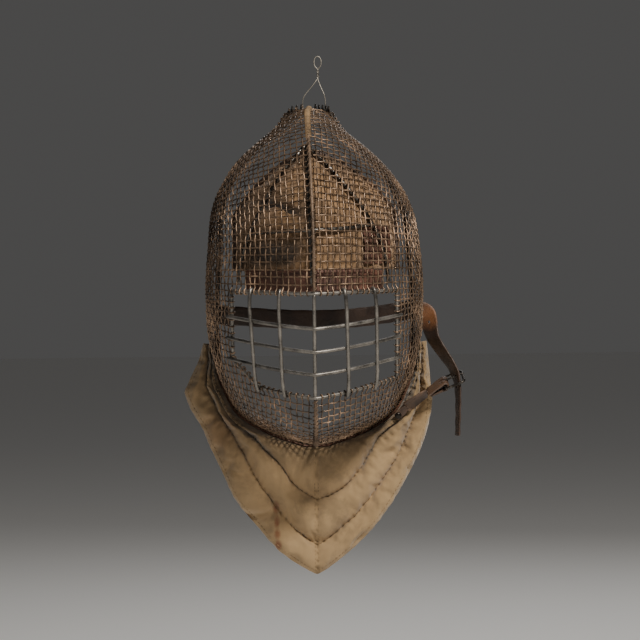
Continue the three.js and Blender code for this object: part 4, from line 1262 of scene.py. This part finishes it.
def pad_soil_and_painted_shade(points):
    """Soiling of the pad with painted shade: painted shadows black in the hollow above the flap and
    under the cross rib, painted shade at the left and top, over an even light soiling.
    """
    x, z, length, height = PAD_SHADOW
    # Painted shadows: black in the hollow above the torn flap and under the cross rib.
    hollow = 2.5 * pad_hollow(points)
    across = (points[:, 0] - x) / length
    hollow += 2 * np.exp(-(across**4) - ((points[:, 2] - z) / height) ** 4)
    # Painted shade: darker towards the left edge and towards the top.
    left = 0.9 * np.clip((-points[:, 0] - 56) / 14, 0, 1)
    top = 0.5 * np.clip((points[:, 2] + 135) / 25, 0, 1)
    return 0.25 + hollow + left + top


def make_pad(sizes, colours):
    # Thick loose weave over stuffing: tan and matt, the threads plain to see.
    finish = canvas(
        "Coarse cotton duck",
        shades(colours.pad, 0.5, 1, 1.25),
        # Duck threads are about 0.8 mm; drawn at 1.5 mm so that they show.
        thread=1.5,
        contrast=0.18,
        # Near-black colour of the soiling and of the painted shadows and shade.
        soil_and_shade_colour=shade(colours.pad, 0.1),
    )
    rows, columns = 34, 46
    front = pad_points(rows, columns, lambda wall: PAD_OUTSIDE - PAD_SINK + 0 * wall)
    back = pad_points(rows, columns, lambda wall: PAD_OUTSIDE - wall)
    front = front + wobble(front, 1.3, 34) + wobble(front, 0.9, 11)
    front = front + np.stack((0 * front[..., 0], 5 * pad_hollow(front), 0 * front[..., 0]), -1)
    pad = grid_wall("crown_canvas_pad", front, back)
    swell(pad, grid_border(rows, columns), 3, 0.05, 1.6)
    subdivide(pad)
    smooth(pad, 70)
    # Soiling with painted shadows in the hollow and under the cross rib, and painted shade at the
    # left and top.
    store_soil_and_shade(pad, pad_soil_and_painted_shade)
    finish_piece(pad, "pad_canvas", finish, "crown_pad")

    # Greasy dark hide rolled on the pad's edge: brown-black with paler creases.
    hide = leather(
        "Dark roller leather", shades(colours.strap, 0.4, 1.1, 2), wear=0.45, roughness=0.6,
    )
    grid = pad_points(rows, columns, lambda wall: PAD_OUTSIDE - 0.5 * wall)
    edge = np.vstack((grid[::-1, 0], grid[0, 1:], grid[1:, -1]))
    roll = wires("pad_edge_roll", [catmull(edge[::3], 150)], 2.3, 3)
    finish_piece(roll, "strap_leather", hide)

    flap_rows, flap_columns = 14, 22
    across = np.linspace(*FLAP_ACROSS, flap_columns)[None]
    share = np.linspace(0, 1, flap_rows)[:, None]
    top = FLAP_TOP + 0.0009 * across + 0.012 * np.sin(across / 5)
    drop = FLAP_DROP + 0.01 * np.sin(across / 4)
    along = (top + share * drop) * VISOR_TOP_ALONG
    curl = -6.9 + 0.5 * np.sin(across / 6 + 2 * share) - 2.2 * (1 - share) ** 3
    surface = point_across(along, np.broadcast_to(across, along.shape), curl)
    flap = grid_wall("torn_canvas_flap", surface, surface + (0, FLAP_WALL, 0))
    subdivide(flap)
    smooth(flap, 80)
    store_soil_and_shade(flap, lambda points: 0.1 + 0 * points[:, 0])
    finish_piece(flap, "pad_canvas", finish)

    # The same hide as the binding, flatter and more rubbed.
    hide = leather(
        "Red-brown brow leather", shades(colours.binding, 0.4, 1, 1.5), wear=0.5, roughness=0.6,
    )
    foot = VISOR_TOP_ALONG - 2
    along = np.linspace(foot - BROW_WIDTH, foot, 12)[:, None]
    across = np.linspace(-BROW_HALF, BROW_HALF, 60)[None] * MESH_HALF_WIDTH
    grid = point_across(along, across, PAD_OUTSIDE)
    front = grid + wobble(grid, 0.5, 28)
    normal = unit(point_across(along, across, PAD_OUTSIDE - 1) - grid)
    band = grid_wall("brow_leather", front, front + normal * BROW_WALL)
    apply_modifier(band, "BEVEL", width=0.0005, segments=2, limit_method="ANGLE")
    smooth(band, 60)
    rolled = point_across(foot - BROW_WIDTH + 0.6, across[0] * 0.99, PAD_OUTSIDE - 0.8)
    roll = wires("brow_roll", [catmull(rolled[::4], 90)], 2.1, 3)
    along = np.linspace(*PATCH_DOWN, 12)[:, None] * VISOR_TOP_ALONG
    across = np.linspace(*PATCH_ACROSS, 12)[None] + 0 * along
    grid = point_across(along, across + 1.5 * np.sin(along / 9), PAD_OUTSIDE + 1.6)
    front = grid + wobble(grid, 0.8, 17)
    patch = grid_wall("leather_patch", front, grid + (0, PATCH_WALL, 0))
    subdivide(patch)
    finish_piece(join("brow_leather", band, roll, patch), "binding_leather", hide, "brow_band")


# Bib

# Share of the padding that shows on the bib's face
BIB_FRONT_SHARE = 0.72
# Inner flange of the bib behind the rim: how far inwards and backwards its columns lie
BIB_TUCK = ((8, 5.2), (0.3, 4.6))
# Stitches: length, rise, gaps on the seams and along the edge, thread radius
STITCH_LENGTH = 2.6
STITCH_RISE = 0.3
SEAM_GAP = 1.4
EDGE_GAP = 1.6
THREAD_RADIUS = 0.32
# Rays that lay the stitches on the cloth: start in front of the line, length
RAY_START = 40
RAY_LENGTH = 52
# Folds of the bib's face: across, down, degrees from level, length, width, depth
BIB_FOLDS = (
    (-58, -455, 4, 30, 3.2, 4.5),
    (-80, -413, -25, 13, 2.2, 2.4),
    (-88, -402, -18, 12, 2, 1.8),
    (66, -383, 24, 26, 3, 2.2),
    (78, -391, 30, 20, 2.6, 2),
    (-103, -360, 12, 13, 2.4, 2.6),
    (103, -326, 92, 38, 2.6, 2.6),
    (-112, -330, 80, 26, 3, 2),
    (-30, -478, -38, 16, 2.6, 1.6),
    (34, -470, 40, 22, 2.8, 1.5),
)


def bib_edges(turns):
    """Radius and depth of the bib's inner edge for each turn, just outside the rim's leather."""
    _, _, rim = rim_line(keel_at_drop(MESH_HEIGHT / 3), 200)
    flat = rim[:, (0, 2)] - (0, -BIB_CENTRE_DROP - CROWN_DROP)
    clear = 4.5
    found = []
    for turn in turns:
        aim = np.array((math.sin(turn), -math.cos(turn)))
        cross = aim[0] * flat[:, 1] - aim[1] * flat[:, 0]
        ahead = flat @ aim > 0
        hits = np.nonzero((cross[:-1] * cross[1:] <= 0) & ahead[:-1])[0]
        i = hits[-1] if len(hits) else int(np.argmin(np.abs(cross) + ~ahead * 1e6))
        i = min(i, len(flat) - 2)
        share = cross[i] / (cross[i] - cross[i + 1] + 1e-12)
        edge = unit(flat[i + 1] - flat[i])
        slant = max(abs(aim[0] * edge[1] - aim[1] * edge[0]), 0.3)
        point = flat[i] + (flat[i + 1] - flat[i]) * share
        depth = rim[i, 1] + (rim[i + 1, 1] - rim[i, 1]) * share
        found.append((float(point @ aim) + clear / slant, depth))
    return np.array(found)


def bib_layers(steps, cells, puff):
    """Front and back grids of the bib, its channels swelled by puff, and the seam columns."""
    rows = np.array(BIB_TURNS, float)
    curves = table_curves(rows)
    widest = rows[-1, 0]
    turns = np.linspace(-widest, widest, steps)
    size = np.abs(turns)
    left = turns < 0
    outer = np.where(left, curves[0](size), curves[1](size)) * BIB_REACH
    a = np.where(left, curves[2](size), curves[3](size))
    b = np.where(left, curves[4](size), curves[5](size))
    edges = bib_edges(np.radians(turns))
    inner, depth = edges.T
    grids = [[], []]
    places = [(0 * b, 0.0), (0 * b, 0.0)]
    for start, end, count in ((0 * b, b, cells[0]), (b, a, cells[1]), (a, 0 * a + 1, cells[2])):
        shares = (1 - np.cos(np.arange(count) / count * math.pi)) / 2
        places += [(start + share * (end - start), share) for share in shares]
    places.append((0 * a + 1, 1.0))
    first = len(BIB_TUCK)
    seams = [first, first + cells[0], first + cells[0] + cells[1], first + sum(cells)]
    narrow = np.minimum((outer - inner) / STRAP_WIDTH, 1)
    middle = 1 - 0.45 * np.exp(-((turns / 1.6) ** 2))
    for j, (at, share) in enumerate(places):
        inward, behind = BIB_TUCK[j] if j < first else (0, 0)
        radius = inner + at * (outer - inner) - inward
        swell_share = math.sin(math.pi * share) ** 0.62 if j > first and j not in seams else 0
        end = j <= first or j == seams[-1]
        thin = BIB_EDGE_WALL * narrow * 0.8 if end else BIB_SEAM_WALL * 0.6 + 0 * narrow
        wall = thin + puff * swell_share * narrow * middle
        for grid, way in zip(grids, (-BIB_FRONT_SHARE, 1 - BIB_FRONT_SHARE)):
            grid.append(
                np.stack(
                    (
                        radius * np.sin(np.radians(turns)),
                        depth + behind + at * BIB_HANG_BACK + way * wall,
                        -BIB_CENTRE_DROP - CROWN_DROP - radius * np.cos(np.radians(turns)),
                    ),
                    -1,
                )
            )
    front = np.stack(grids[0], 1)
    back = np.stack(grids[1], 1)
    return front, back, seams


def fold_bib(obj, seam_lines):
    """Presses folds and the puckers beside the seams into the bib's face."""
    points = mask_points(obj)
    count = len(points)
    facing = np.clip(-vertex_values(obj, "normal")[:, 1], 0, 1)
    push = np.zeros(count)
    for x, z, angle, length, width, depth in BIB_FOLDS:
        turn = math.radians(angle)
        dx = points[:, 0] - x
        dz = points[:, 2] - z
        along = dx * math.cos(turn) + dz * math.sin(turn)
        bow = (along / length) ** 2 * width * 1.5
        off = -dx * math.sin(turn) + dz * math.cos(turn) - bow
        beside = np.exp(-(((np.abs(off) - 2.2 * width) / width) ** 2))
        shape = np.exp(-((off / width) ** 2)) - 0.45 * beside
        push += depth * shape * np.exp(-((along / length * 1.7) ** 4))
    near = np.full(count, 1e9)
    phase = np.zeros(count)
    for line in seam_lines:
        for i in range(0, len(line), 2):
            gap = np.hypot(points[:, 0] - line[i, 0], points[:, 2] - line[i, 2])
            closer = gap < near
            near[closer] = gap[closer]
            phase[closer] = i
    push += 2.2 * np.exp(-((near / 1.5) ** 2))
    pucker = np.sin(phase * 1.7 + 1.3 * np.sin(phase * 0.31)) * np.exp(-((near - 5) / 4) ** 2)
    push += 0.55 * pucker
    push += 0.5 * wobble(points, 1.0, 31)[:, 1] + 0.25 * wobble(points, 1.0, 12)[:, 2]
    points[:, 1] += push * facing
    move_vertices(obj, row_points(points))
    return near


def stitch_row(line, gap):
    """Short thread paths along a line of points, bowed out of the cloth."""
    line = resample(line, max(int(path_length(line) / 0.8), 4))
    lengths = lengths_along(line)
    paths = []
    start = 0.0
    while start + STITCH_LENGTH < lengths[-1]:
        points = points_at(line, lengths, np.linspace(start, start + STITCH_LENGTH, 5))
        points[:, 1] -= STITCH_RISE * np.array((-0.8, 0.6, 1, 0.6, -0.8))
        paths.append(points)
        start += STITCH_LENGTH + gap
    return paths


def surface_line(obj, line):
    """The line laid on the front face of a piece."""
    dg = bpy.context.evaluated_depsgraph_get()
    evaluated = obj.evaluated_get(dg)
    laid = []
    for point in line:
        start = Vector(row_points(point + (0, -RAY_START, 0)))
        hit, place, _, _ = evaluated.ray_cast(start, Vector(BACK), distance=RAY_LENGTH / 1000)
        if hit:
            laid.append(np.array(place) * 1000 + (EYE_OFFSET, 0, 0))
    return np.array(laid)


def bib_soil_and_painted_shade(points, near):
    """Soiling of the bib with painted shade: painted shade along the seams, a painted shadow in a
    band round under the chin and painted shade on the left wing, over an even light soiling.
    """
    # Painted shade in the seams' grooves, over an even light soiling.
    seams = 0.12 + 0.75 * np.exp(-((near / 1.3) ** 2))
    # Painted shadow of the chin on the bib.
    chin = np.exp(-((np.hypot(points[:, 0], points[:, 2] + 300) - 92) / 16) ** 2)
    # Painted shade on the left wing.
    left = np.clip((-points[:, 0] - 54.5) / 60, 0, 1)
    return np.clip(seams + 1.2 * chin + 0.7 * left, 0, 1.6)


def make_bib(sizes, colours):
    rust = linear("6E3A1C")
    # Closely woven cotton bleached by light: pale khaki and matt, with small rust marks.
    finish = canvas(
        "Faded khaki cotton canvas",
        shades(colours.bib, 0.72, 1, 1.06, 1.16),
        # Canvas threads are about 0.7 mm; drawn at 1.2 mm so that they show.
        thread=1.2,
        contrast=0.07,
        # Dark colour of the soiling and of the painted shade and shadow.
        soil_and_shade_colour=shade(colours.bib, 0.22),
        stains=(
            ((-40, -20, -448), (5, 9), 0.8, rust), ((-39.5, -20, -462), (4, 9), 0.75, rust),
            ((-39, -20, -474), (4.5, 8), 0.7, rust), ((-38.5, -20, -485), (5, 8), 0.8, rust),
            ((-96, -20, -372), (24, 30), 0.25, shade(rust, 0.6)),
            ((40, -20, -402), (30, 18), 0.15, shade(colours.bib, 0.4)),
        ),
    )
    cells = (8, 10, 12)
    steps = 181
    front, back, seams = bib_layers(steps, cells, sizes.bib_puff * 1000)
    bib = grid_wall("bib_quilted_canvas", front, back)
    columns = front.shape[1]
    index = np.arange(steps * columns).reshape(steps, columns)
    seam_points = index[:, seams].ravel()
    held = np.unique(
        np.concatenate((grid_border(steps, columns), seam_points, seam_points + steps * columns)),
    )
    swell(bib, held, 3.5, 0.05, 3.2)
    subdivide(bib)
    lines = [front[:, seam] for seam in seams[1:3]]
    middle = front[steps // 2, seams[0] + 2 :]
    near = fold_bib(bib, [*lines, middle])
    smooth(bib, 80)
    # Soiling with painted shade along the seams, under the chin and on the left wing.
    store_soil_and_shade(bib, lambda points: bib_soil_and_painted_shade(points, near))
    finish_piece(bib, "bib_canvas", finish, "bib")

    # Waxed thread in the seams: short dark dashes on the canvas.
    thread = weathered(
        "Linen sewing thread", shades(colours.bib, 0.35, 0.7, 1.2), patch=20, grain=0.8,
        roughness=(0.9, 0.8), metallic=0, relief=0.05,
    )
    paths = []
    for line in lines:
        inside = line[8:-8]
        paths += stitch_row(surface_line(bib, inside), SEAM_GAP)
    for shift in (-1.7, 1.7):
        paths += stitch_row(surface_line(bib, middle + (shift, 0, 0)), SEAM_GAP)
    edge = front[4:-4, -1]
    centre = np.array((0, 0, -BIB_CENTRE_DROP - CROWN_DROP))
    inset = edge + unit(centre - edge) * (1, 0, 1) * 4.2
    paths += stitch_row(surface_line(bib, inset), EDGE_GAP)
    finish_piece(wires("bib_stitches", paths, THREAD_RADIUS), "bib_canvas", thread)


# Straps, buckle and rivets


def mask_place(across, drop, forward):
    """Place given by shares of the mask's sizes."""
    return np.array(
        (
            across * MESH_HALF_WIDTH, -CROWN_FORWARD - forward * MESH_DEPTH,
            -CROWN_DROP - drop * MESH_HEIGHT,
        )
    )


def route_stations(route, steps):
    """Points, directions across and widths along a strap's route."""
    rows = np.array(route, float)
    points = np.array([mask_place(*row[:3]) for row in rows])
    turns, wides = table_curves(rows[:, 3:], np.arange(len(rows)))
    around = extended(points)
    at = np.linspace(0, len(rows) - 1, steps + 1)
    i = np.minimum(at.astype(int), len(rows) - 2)
    t = (at - i)[:, None]
    line = spline(*(around[i + k] for k in range(4)), t)
    tangent = tangents_of(line)
    flat = unit(np.cross(tangent, BACK))
    deep = unit(np.cross(tangent, flat))
    turn = np.radians(turns(at))[:, None]
    width = flat * np.cos(turn) + deep * np.sin(turn)
    return line, width, wides(at) * STRAP_WIDTH


def ribbon(name, line, width, wide, wall):
    """Strap with rounded edges, slightly cupped, along a line."""
    tangent = tangents_of(line)
    face = unit(np.cross(width, tangent))
    turns = np.linspace(0, 2 * math.pi, 24, endpoint=False)
    across = np.sign(np.cos(turns)) * np.abs(np.cos(turns)) ** 0.35
    deep = np.sign(np.sin(turns)) * np.abs(np.sin(turns)) ** 0.7
    rings = (
        line[:, None]
        + width[:, None] * (wide[:, None, None] / 2 * across[None, :, None])
        + face[:, None] * (wall / 2 * deep[None, :, None])
    )
    first = rings[0] + (line[0] - rings[0]) * 0.12 - tangent[0] * 0.5
    last = rings[-1] + (line[-1] - rings[-1]) * 0.12 + tangent[-1] * 0.5
    rings = np.concatenate((first[None], rings, last[None]))
    rings = rings + wobble(rings, 0.22, 19)
    return ring_solid(name, rings)


def cut_away(obj, cutter):
    apply_modifier(obj, "BOOLEAN", object=cutter, operation="DIFFERENCE", solver="EXACT")
    bpy.data.objects.remove(cutter)


def buckle_place(run, across, face):
    run_way = unit(BUCKLE_RUN)
    across_way = unit(BUCKLE_ACROSS)
    face_way = unit(np.cross(run_way, across_way))
    return mask_place(*BUCKLE_PLACE) + run_way * run + across_way * across + face_way * face


def tongue_path(sizes):
    radius = sizes.buckle_wire * 500
    pin = radius * 0.64
    rest = radius + 0.3 + pin
    half = BUCKLE_LENGTH / 2
    ring = [
        buckle_place(-half + rest * math.cos(turn), 0, -rest * math.sin(turn))
        for turn in np.radians((150, 130, 110, 90))
    ]
    ends = [buckle_place(half / 2, 0, -rest - 0.3), buckle_place(half + radius, 0, -rest)]
    return np.array(ring + ends), pin


def turned(name, foot, aim, profile):
    """Piece turned on an axis; the profile gives radius and height pairs up the axis."""
    aim = unit(aim)
    first = unit(np.cross(aim, UP if abs(aim[2]) < 0.9 else RIGHT))
    second = np.cross(aim, first)
    turns = np.linspace(0, 2 * math.pi, 28, endpoint=False)[:, None]
    rings = [
        foot + aim * height + radius * (first * np.cos(turns) + second * np.sin(turns))
        for radius, height in profile
    ]
    obj = ring_solid(name, np.array(rings))
    smooth(obj, 40)
    return obj


def make_straps(sizes, colours):
    # Oiled strap hide: near black, cracked, with tan showing where it bends.
    hide = leather(
        "Dark harness leather", (*shades(colours.strap, 0.35, 0.8, 1), linear("66452A")), wear=0.55,
        roughness=0.5, stains=((mask_place(1.075, 0.625, 0.02), (17, 19), 0.9, linear("70482A")),),
    )
    # Undyed thin hide: mid brown, smoother than the strap.
    thong = leather(
        "Brown thong leather", (linear("33241A"), linear("4A3525"), linear("664C36")), wear=0.5,
        roughness=0.55,
    )
    # Bent iron wire: black with worn grey on its corners.
    iron = weathered(
        "Blackened buckle iron", (*shades(colours.iron, 0.45, 1), shade(colours.visor, 0.9)),
        patch=9, grain=0.9, roughness=(0.55, 0.28), metallic=0.8, relief=0.1,
    )
    wall = sizes.strap_wall * 1000
    tongue, pin = tongue_path(sizes)
    line, width, wide = route_stations(NAPE_ROUTE, 170)
    nape = ribbon("nape_strap_leather", line, width, wide, wall)
    cut_away(nape, wires("tongue_hole", [tongue], pin + 0.35, 3))
    tangent = tangents_of(line)
    face = unit(np.cross(width, tangent))
    for share in PUNCHED:
        at = int(share * 170)
        ends = np.array((line[at] - face[at] * 4, line[at] + face[at] * 4))
        cut_away(nape, wires("punched_hole", [ends], PUNCH_RADIUS, 4))
    smooth(nape, 50)
    finish_piece(nape, "strap_leather", hide, "nape_strap")

    route, across, wide = route_stations(JAW_ROUTE, 60)
    radius = sizes.buckle_wire * 500 + 0.6 + wall / 2
    bar = -BUCKLE_LENGTH / 2
    loop = [
        buckle_place(bar + radius * math.sin(turn), 0, -radius * math.cos(turn))
        for turn in np.linspace(0, math.pi, 13)
    ]
    under = buckle_place(bar - JAW_RETURN, 0, radius)
    back = [loop[-1] + (under - loop[-1]) * share for share in np.linspace(0.1, 1, 10)]
    lead = route[:-3]
    bridge = catmull(np.array((lead[-1], (lead[-1] + loop[0]) / 2, loop[0])), 8)[1:-1]
    line = np.vstack((lead, bridge, loop, back))
    buckle_way = unit(BUCKLE_ACROSS)
    sign = math.copysign(1, float(across[-1] @ buckle_way))
    count = len(bridge) + len(loop) + len(back)
    width = np.vstack((across[:-3] * sign, np.repeat(buckle_way[None], count, 0)))
    wide = np.concatenate((wide[:-3], np.full(count, STRAP_WIDTH)))
    jaw = ribbon("jaw_strap_leather", line, unit(width), wide, wall)
    slot = [buckle_place(bar + share * 4.2, 0, -radius) for share in (-1, 2)]
    cut_away(jaw, wires("tongue_slot", [np.array(slot)], 2 * pin + 0.3, 3))
    smooth(jaw, 50)
    finish_piece(jaw, "strap_leather", thong, "jaw_strap")

    bend = sizes.buckle_wire * 1500
    path = []
    for i, (u, v) in enumerate(((1, 1), (-1, 1), (-1, -1), (1, -1))):
        for turn in np.radians(np.linspace(0, 90, 7) + i * 90):
            path.append(
                buckle_place(
                    u * (BUCKLE_LENGTH / 2 - bend) + bend * math.cos(turn),
                    v * (BUCKLE_WIDTH / 2 - bend) + bend * math.sin(turn), 0,
                )
            )
    frame_piece = wires("buckle_iron", [np.array(path)], sizes.buckle_wire * 500, 4, closed=True)
    finish_piece(frame_piece, "rib_iron", iron, "buckle_frame")
    prong = wires("buckle_pin", [rounded(catmull(tongue, 30), pin)], pin, 3)
    finish_piece(prong, "rib_iron", iron, "buckle_tongue")

    line, width, wide = route_stations(JAW_ROUTE, 18)
    tangent = tangents_of(line)
    out = unit(np.cross(width[1], tangent[1]))
    out = -out if out[1] > 0 else out
    foot = line[1] - out * (wall / 2 + 0.2)
    finish_piece(turned("jaw_rivet_dome", foot, out, RIVET_DOME), "rib_iron", iron, "jaw_rivet")
    line, _, _ = route_stations(NAPE_ROUTE, 48)
    foot = line[2] - BACK * wall / 2
    rivet = turned("nape_rivet_dome", foot, BACK, RIVET_DOME)
    finish_piece(rivet, "rib_iron", iron, "nape_rivet")


# Hanging wire


def make_hanger(sizes, colours):
    # Zinc-coated wire: even pale grey with a satin shine.
    finish = weathered(
        "Dull galvanised wire", shades(colours.hanger, 0.5, 1, 1.3), patch=15, grain=1,
        roughness=(0.6, 0.35), metallic=0.85, relief=0.05,
    )
    turns = np.radians(np.linspace(-70, 250, 30))
    reach = EYE_RADIUS - LOOP_RADIUS
    eye = np.stack(
        (EYE_OFFSET + reach * 0.6 * np.cos(turns), 0 * turns, -EYE_RADIUS + reach * np.sin(turns)),
        -1,
    )
    paths = [eye]
    for way, start, leg in ((1, eye[-1], WIRE_LEGS[0]), (-1, eye[0], WIRE_LEGS[1])):
        turn = np.linspace(0, 3.2 * math.pi, 26) + (0 if way < 0 else math.pi)
        height = np.linspace(start[2] - 0.6, TWIST_FOOT, 26)
        x = EYE_OFFSET + TWIST_RADIUS * np.cos(turn)
        twist = np.stack((x, TWIST_RADIUS * np.sin(turn), height), -1)
        places = [start, *twist]
        for k, (across, drop) in enumerate(leg[1:], 1):
            y = -CROWN_FORWARD * k / 3
            places.append((across * MESH_HALF_WIDTH, y, -CROWN_DROP - drop * MESH_HEIGHT))
        end = leg[-1][0] * MESH_HALF_WIDTH
        edge = crown_edge(end)
        hook_reach = sizes.rim_diameter * 500 + LOOP_RADIUS + 0.3
        for turn in np.radians((0, 35, 70, 105, 150, 200)):
            y = edge[1] + hook_reach * math.cos(turn)
            places.append((end, y, edge[2] - hook_reach * math.sin(turn)))
        paths.append(catmull(np.array(places), 110))
    hanger = wires("hanging_loop", paths, LOOP_RADIUS, 2)
    finish_piece(hanger, "hanging_wire", finish, "hanging_wire")


# Stage


def make_stage(sizes, colours):
    # Flat matt paint: an even pale ground with no shine.
    plain = bpy.data.materials.new("Pale matt paint")
    plain.use_nodes = True
    shader = plain.node_tree.nodes["Principled BSDF"]
    shader.inputs["Base Color"].default_value = (*FLOOR_COLOUR, 1)
    shader.inputs["Roughness"].default_value = 0.9
    bpy.ops.object.select_all(action="DESELECT")
    bpy.ops.mesh.primitive_plane_add(size=60, location=(0, 0, FLOOR_Z / 1000))
    floor = bpy.context.view_layer.objects.active
    floor.name = "pale_floor"
    floor.data.materials.append(plain)

    world = bpy.data.worlds.new("soft_room")
    world.use_nodes = True
    background = world.node_tree.nodes["Background"]
    background.inputs["Color"].default_value = (*WORLD_COLOUR, 1)
    background.inputs["Strength"].default_value = WORLD_STRENGTH
    bpy.context.scene.world = world

    for name, place, size, power, colour in LIGHTS:
        light = bpy.data.lights.new(name, "AREA")
        light.size = size
        light.energy = power
        light.color = colour
        lamp = bpy.data.objects.new(name, light)
        lamp.location = place
        aim = Vector(LIGHT_AIM) - Vector(place)
        lamp.rotation_euler = aim.to_track_quat("-Z", "Y").to_euler()
        bpy.context.scene.collection.objects.link(lamp)

    lens = bpy.data.cameras.new("photo_camera")
    lens.lens = CAMERA_LENS
    lens.sensor_width = 36
    camera = bpy.data.objects.new("photo_camera", lens)
    camera.location = (CAMERA_X / 1000, (HANG_PLANE_Y - CAMERA_REACH) / 1000, CAMERA_Z / 1000)
    camera.rotation_euler = (math.radians(90), math.radians(CAMERA_ROLL), 0)
    bpy.context.scene.collection.objects.link(camera)
    bpy.context.scene.camera = camera


# Add-on


def size_setting(name, description, default):
    return bpy.props.FloatProperty(
        name=name, description=description, default=default, min=0.0001, unit="LENGTH", precision=5,
    )


def colour_setting(name, description, code):
    return bpy.props.FloatVectorProperty(
        name=name, description=description, default=linear(code), subtype="COLOR", size=3, min=0,
        max=1,
    )


class MaskSizes(bpy.types.PropertyGroup):
    """Sizes of the mask's wires, bars and walls."""

    wire_diameter: size_setting("Cloth wire", "Diameter of the woven wires", 0.0014)
    gap_across: size_setting("Pitch across", "Distance between the upright wires", 0.0065)
    gap_down: size_setting("Pitch down", "Distance between the level wires", 0.0073)
    visor_bar_diameter: size_setting("Visor bar", "Diameter of the visor's bars", 0.0034)
    rim_diameter: size_setting("Rim wire", "Diameter of the rim's iron", 0.0036)
    rib_diameter: size_setting("Rib", "Diameter of the crown's ribs", 0.0038)
    bib_puff: size_setting("Bib padding", "Extra thickness of the bib between seams", 0.0135)
    strap_wall: size_setting("Strap wall", "Thickness of the strap leather", 0.0025)
    buckle_wire: size_setting("Buckle wire", "Diameter of the buckle's iron", 0.0028)


class MaskColours(bpy.types.PropertyGroup):
    """Main colour of each finish."""

    wire: colour_setting("Cloth wire", "Rusted wire of the cloth and seams", "77624F")
    twine: colour_setting("Twine", "Waxed twine of the crown seam", "7A6245")
    iron: colour_setting("Iron", "Blackened rim, ribs, buckle and rivets", "2E2924")
    visor: colour_setting("Visor steel", "Tarnished bars of the visor", "7B766F")
    binding: colour_setting("Binding leather", "Rim binding and brow band", "5F3E2F")
    pad: colour_setting("Pad canvas", "Canvas of the crown pad", "8C6C4A")
    bib: colour_setting("Bib canvas", "Canvas of the bib", "9A7F5A")
    strap: colour_setting("Strap leather", "Dark leather of the straps", "3E2C20")
    hanger: colour_setting("Hanging wire", "Galvanised wire of the loop", "8C867C")


def run_maker(context, maker):
    maker(context.scene.mask_sizes, context.scene.mask_colours)
    return {"FINISHED"}


class MASK_OT_wire_cloth(bpy.types.Operator):
    """Weaves the two halves of the wire cloth"""

    bl_idname = "mask.wire_cloth"
    bl_label = "Wire cloth"

    def execute(self, context):
        return run_maker(context, make_wire_cloth)


class MASK_OT_seams(bpy.types.Operator):
    """Lashes the keel and the chin"""

    bl_idname = "mask.seams"
    bl_label = "Keel and chin seams"

    def execute(self, context):
        return run_maker(context, make_seams)


class MASK_OT_rim(bpy.types.Operator):
    """Bends the rim's iron and folds the leather over it"""

    bl_idname = "mask.rim"
    bl_label = "Rim and binding"

    def execute(self, context):
        return run_maker(context, make_rim)


class MASK_OT_visor(bpy.types.Operator):
    """Builds the barred visor"""

    bl_idname = "mask.visor"
    bl_label = "Visor"

    def execute(self, context):
        return run_maker(context, make_visor)


class MASK_OT_ribs(bpy.types.Operator):
    """Bends the ribs inside the crown"""

    bl_idname = "mask.ribs"
    bl_label = "Crown ribs"

    def execute(self, context):
        return run_maker(context, make_ribs)


class MASK_OT_pad(bpy.types.Operator):
    """Stuffs the crown pad and hangs the brow leather"""

    bl_idname = "mask.pad"
    bl_label = "Crown pad"

    def execute(self, context):
        return run_maker(context, make_pad)


class MASK_OT_bib(bpy.types.Operator):
    """Quilts the bib"""

    bl_idname = "mask.bib"
    bl_label = "Bib"

    def execute(self, context):
        return run_maker(context, make_bib)


class MASK_OT_straps(bpy.types.Operator):
    """Cuts the straps and bends the buckle"""

    bl_idname = "mask.straps"
    bl_label = "Straps and buckle"

    def execute(self, context):
        return run_maker(context, make_straps)


class MASK_OT_hanger(bpy.types.Operator):
    """Twists the hanging wire"""

    bl_idname = "mask.hanger"
    bl_label = "Hanging wire"

    def execute(self, context):
        return run_maker(context, make_hanger)


class MASK_OT_stage(bpy.types.Operator):
    """Sets the floor, lights and camera"""

    bl_idname = "mask.stage"
    bl_label = "Stage"

    def execute(self, context):
        return run_maker(context, make_stage)


MAKERS = (
    MASK_OT_stage,
    MASK_OT_wire_cloth,
    MASK_OT_seams,
    MASK_OT_rim,
    MASK_OT_visor,
    MASK_OT_ribs,
    MASK_OT_pad,
    MASK_OT_bib,
    MASK_OT_straps,
    MASK_OT_hanger,
)


class MASK_PT_panel(bpy.types.Panel):
    """Lists the mask's sizes, colours and makers"""

    bl_idname = "MASK_PT_panel"
    bl_label = "Fencing mask"
    bl_space_type = "VIEW_3D"
    bl_region_type = "UI"
    bl_category = "Mask"

    def draw(self, context):
        for group in (context.scene.mask_sizes, context.scene.mask_colours):
            box = self.layout.box()
            for name in group.__annotations__:
                box.prop(group, name)
        for maker in MAKERS:
            self.layout.operator(maker.bl_idname)


CLASSES = (MaskSizes, MaskColours, *MAKERS, MASK_PT_panel)


def register():
    for cls in CLASSES:
        bpy.utils.register_class(cls)
    bpy.types.Scene.mask_sizes = bpy.props.PointerProperty(type=MaskSizes)
    bpy.types.Scene.mask_colours = bpy.props.PointerProperty(type=MaskColours)


def unregister():
    del bpy.types.Scene.mask_colours
    del bpy.types.Scene.mask_sizes
    for cls in reversed(CLASSES):
        bpy.utils.unregister_class(cls)


def main():
    register()
    for maker in MAKERS:
        group, name = maker.bl_idname.split(".")
        getattr(getattr(bpy.ops, group), name)()


if __name__ == "__main__":
    main()
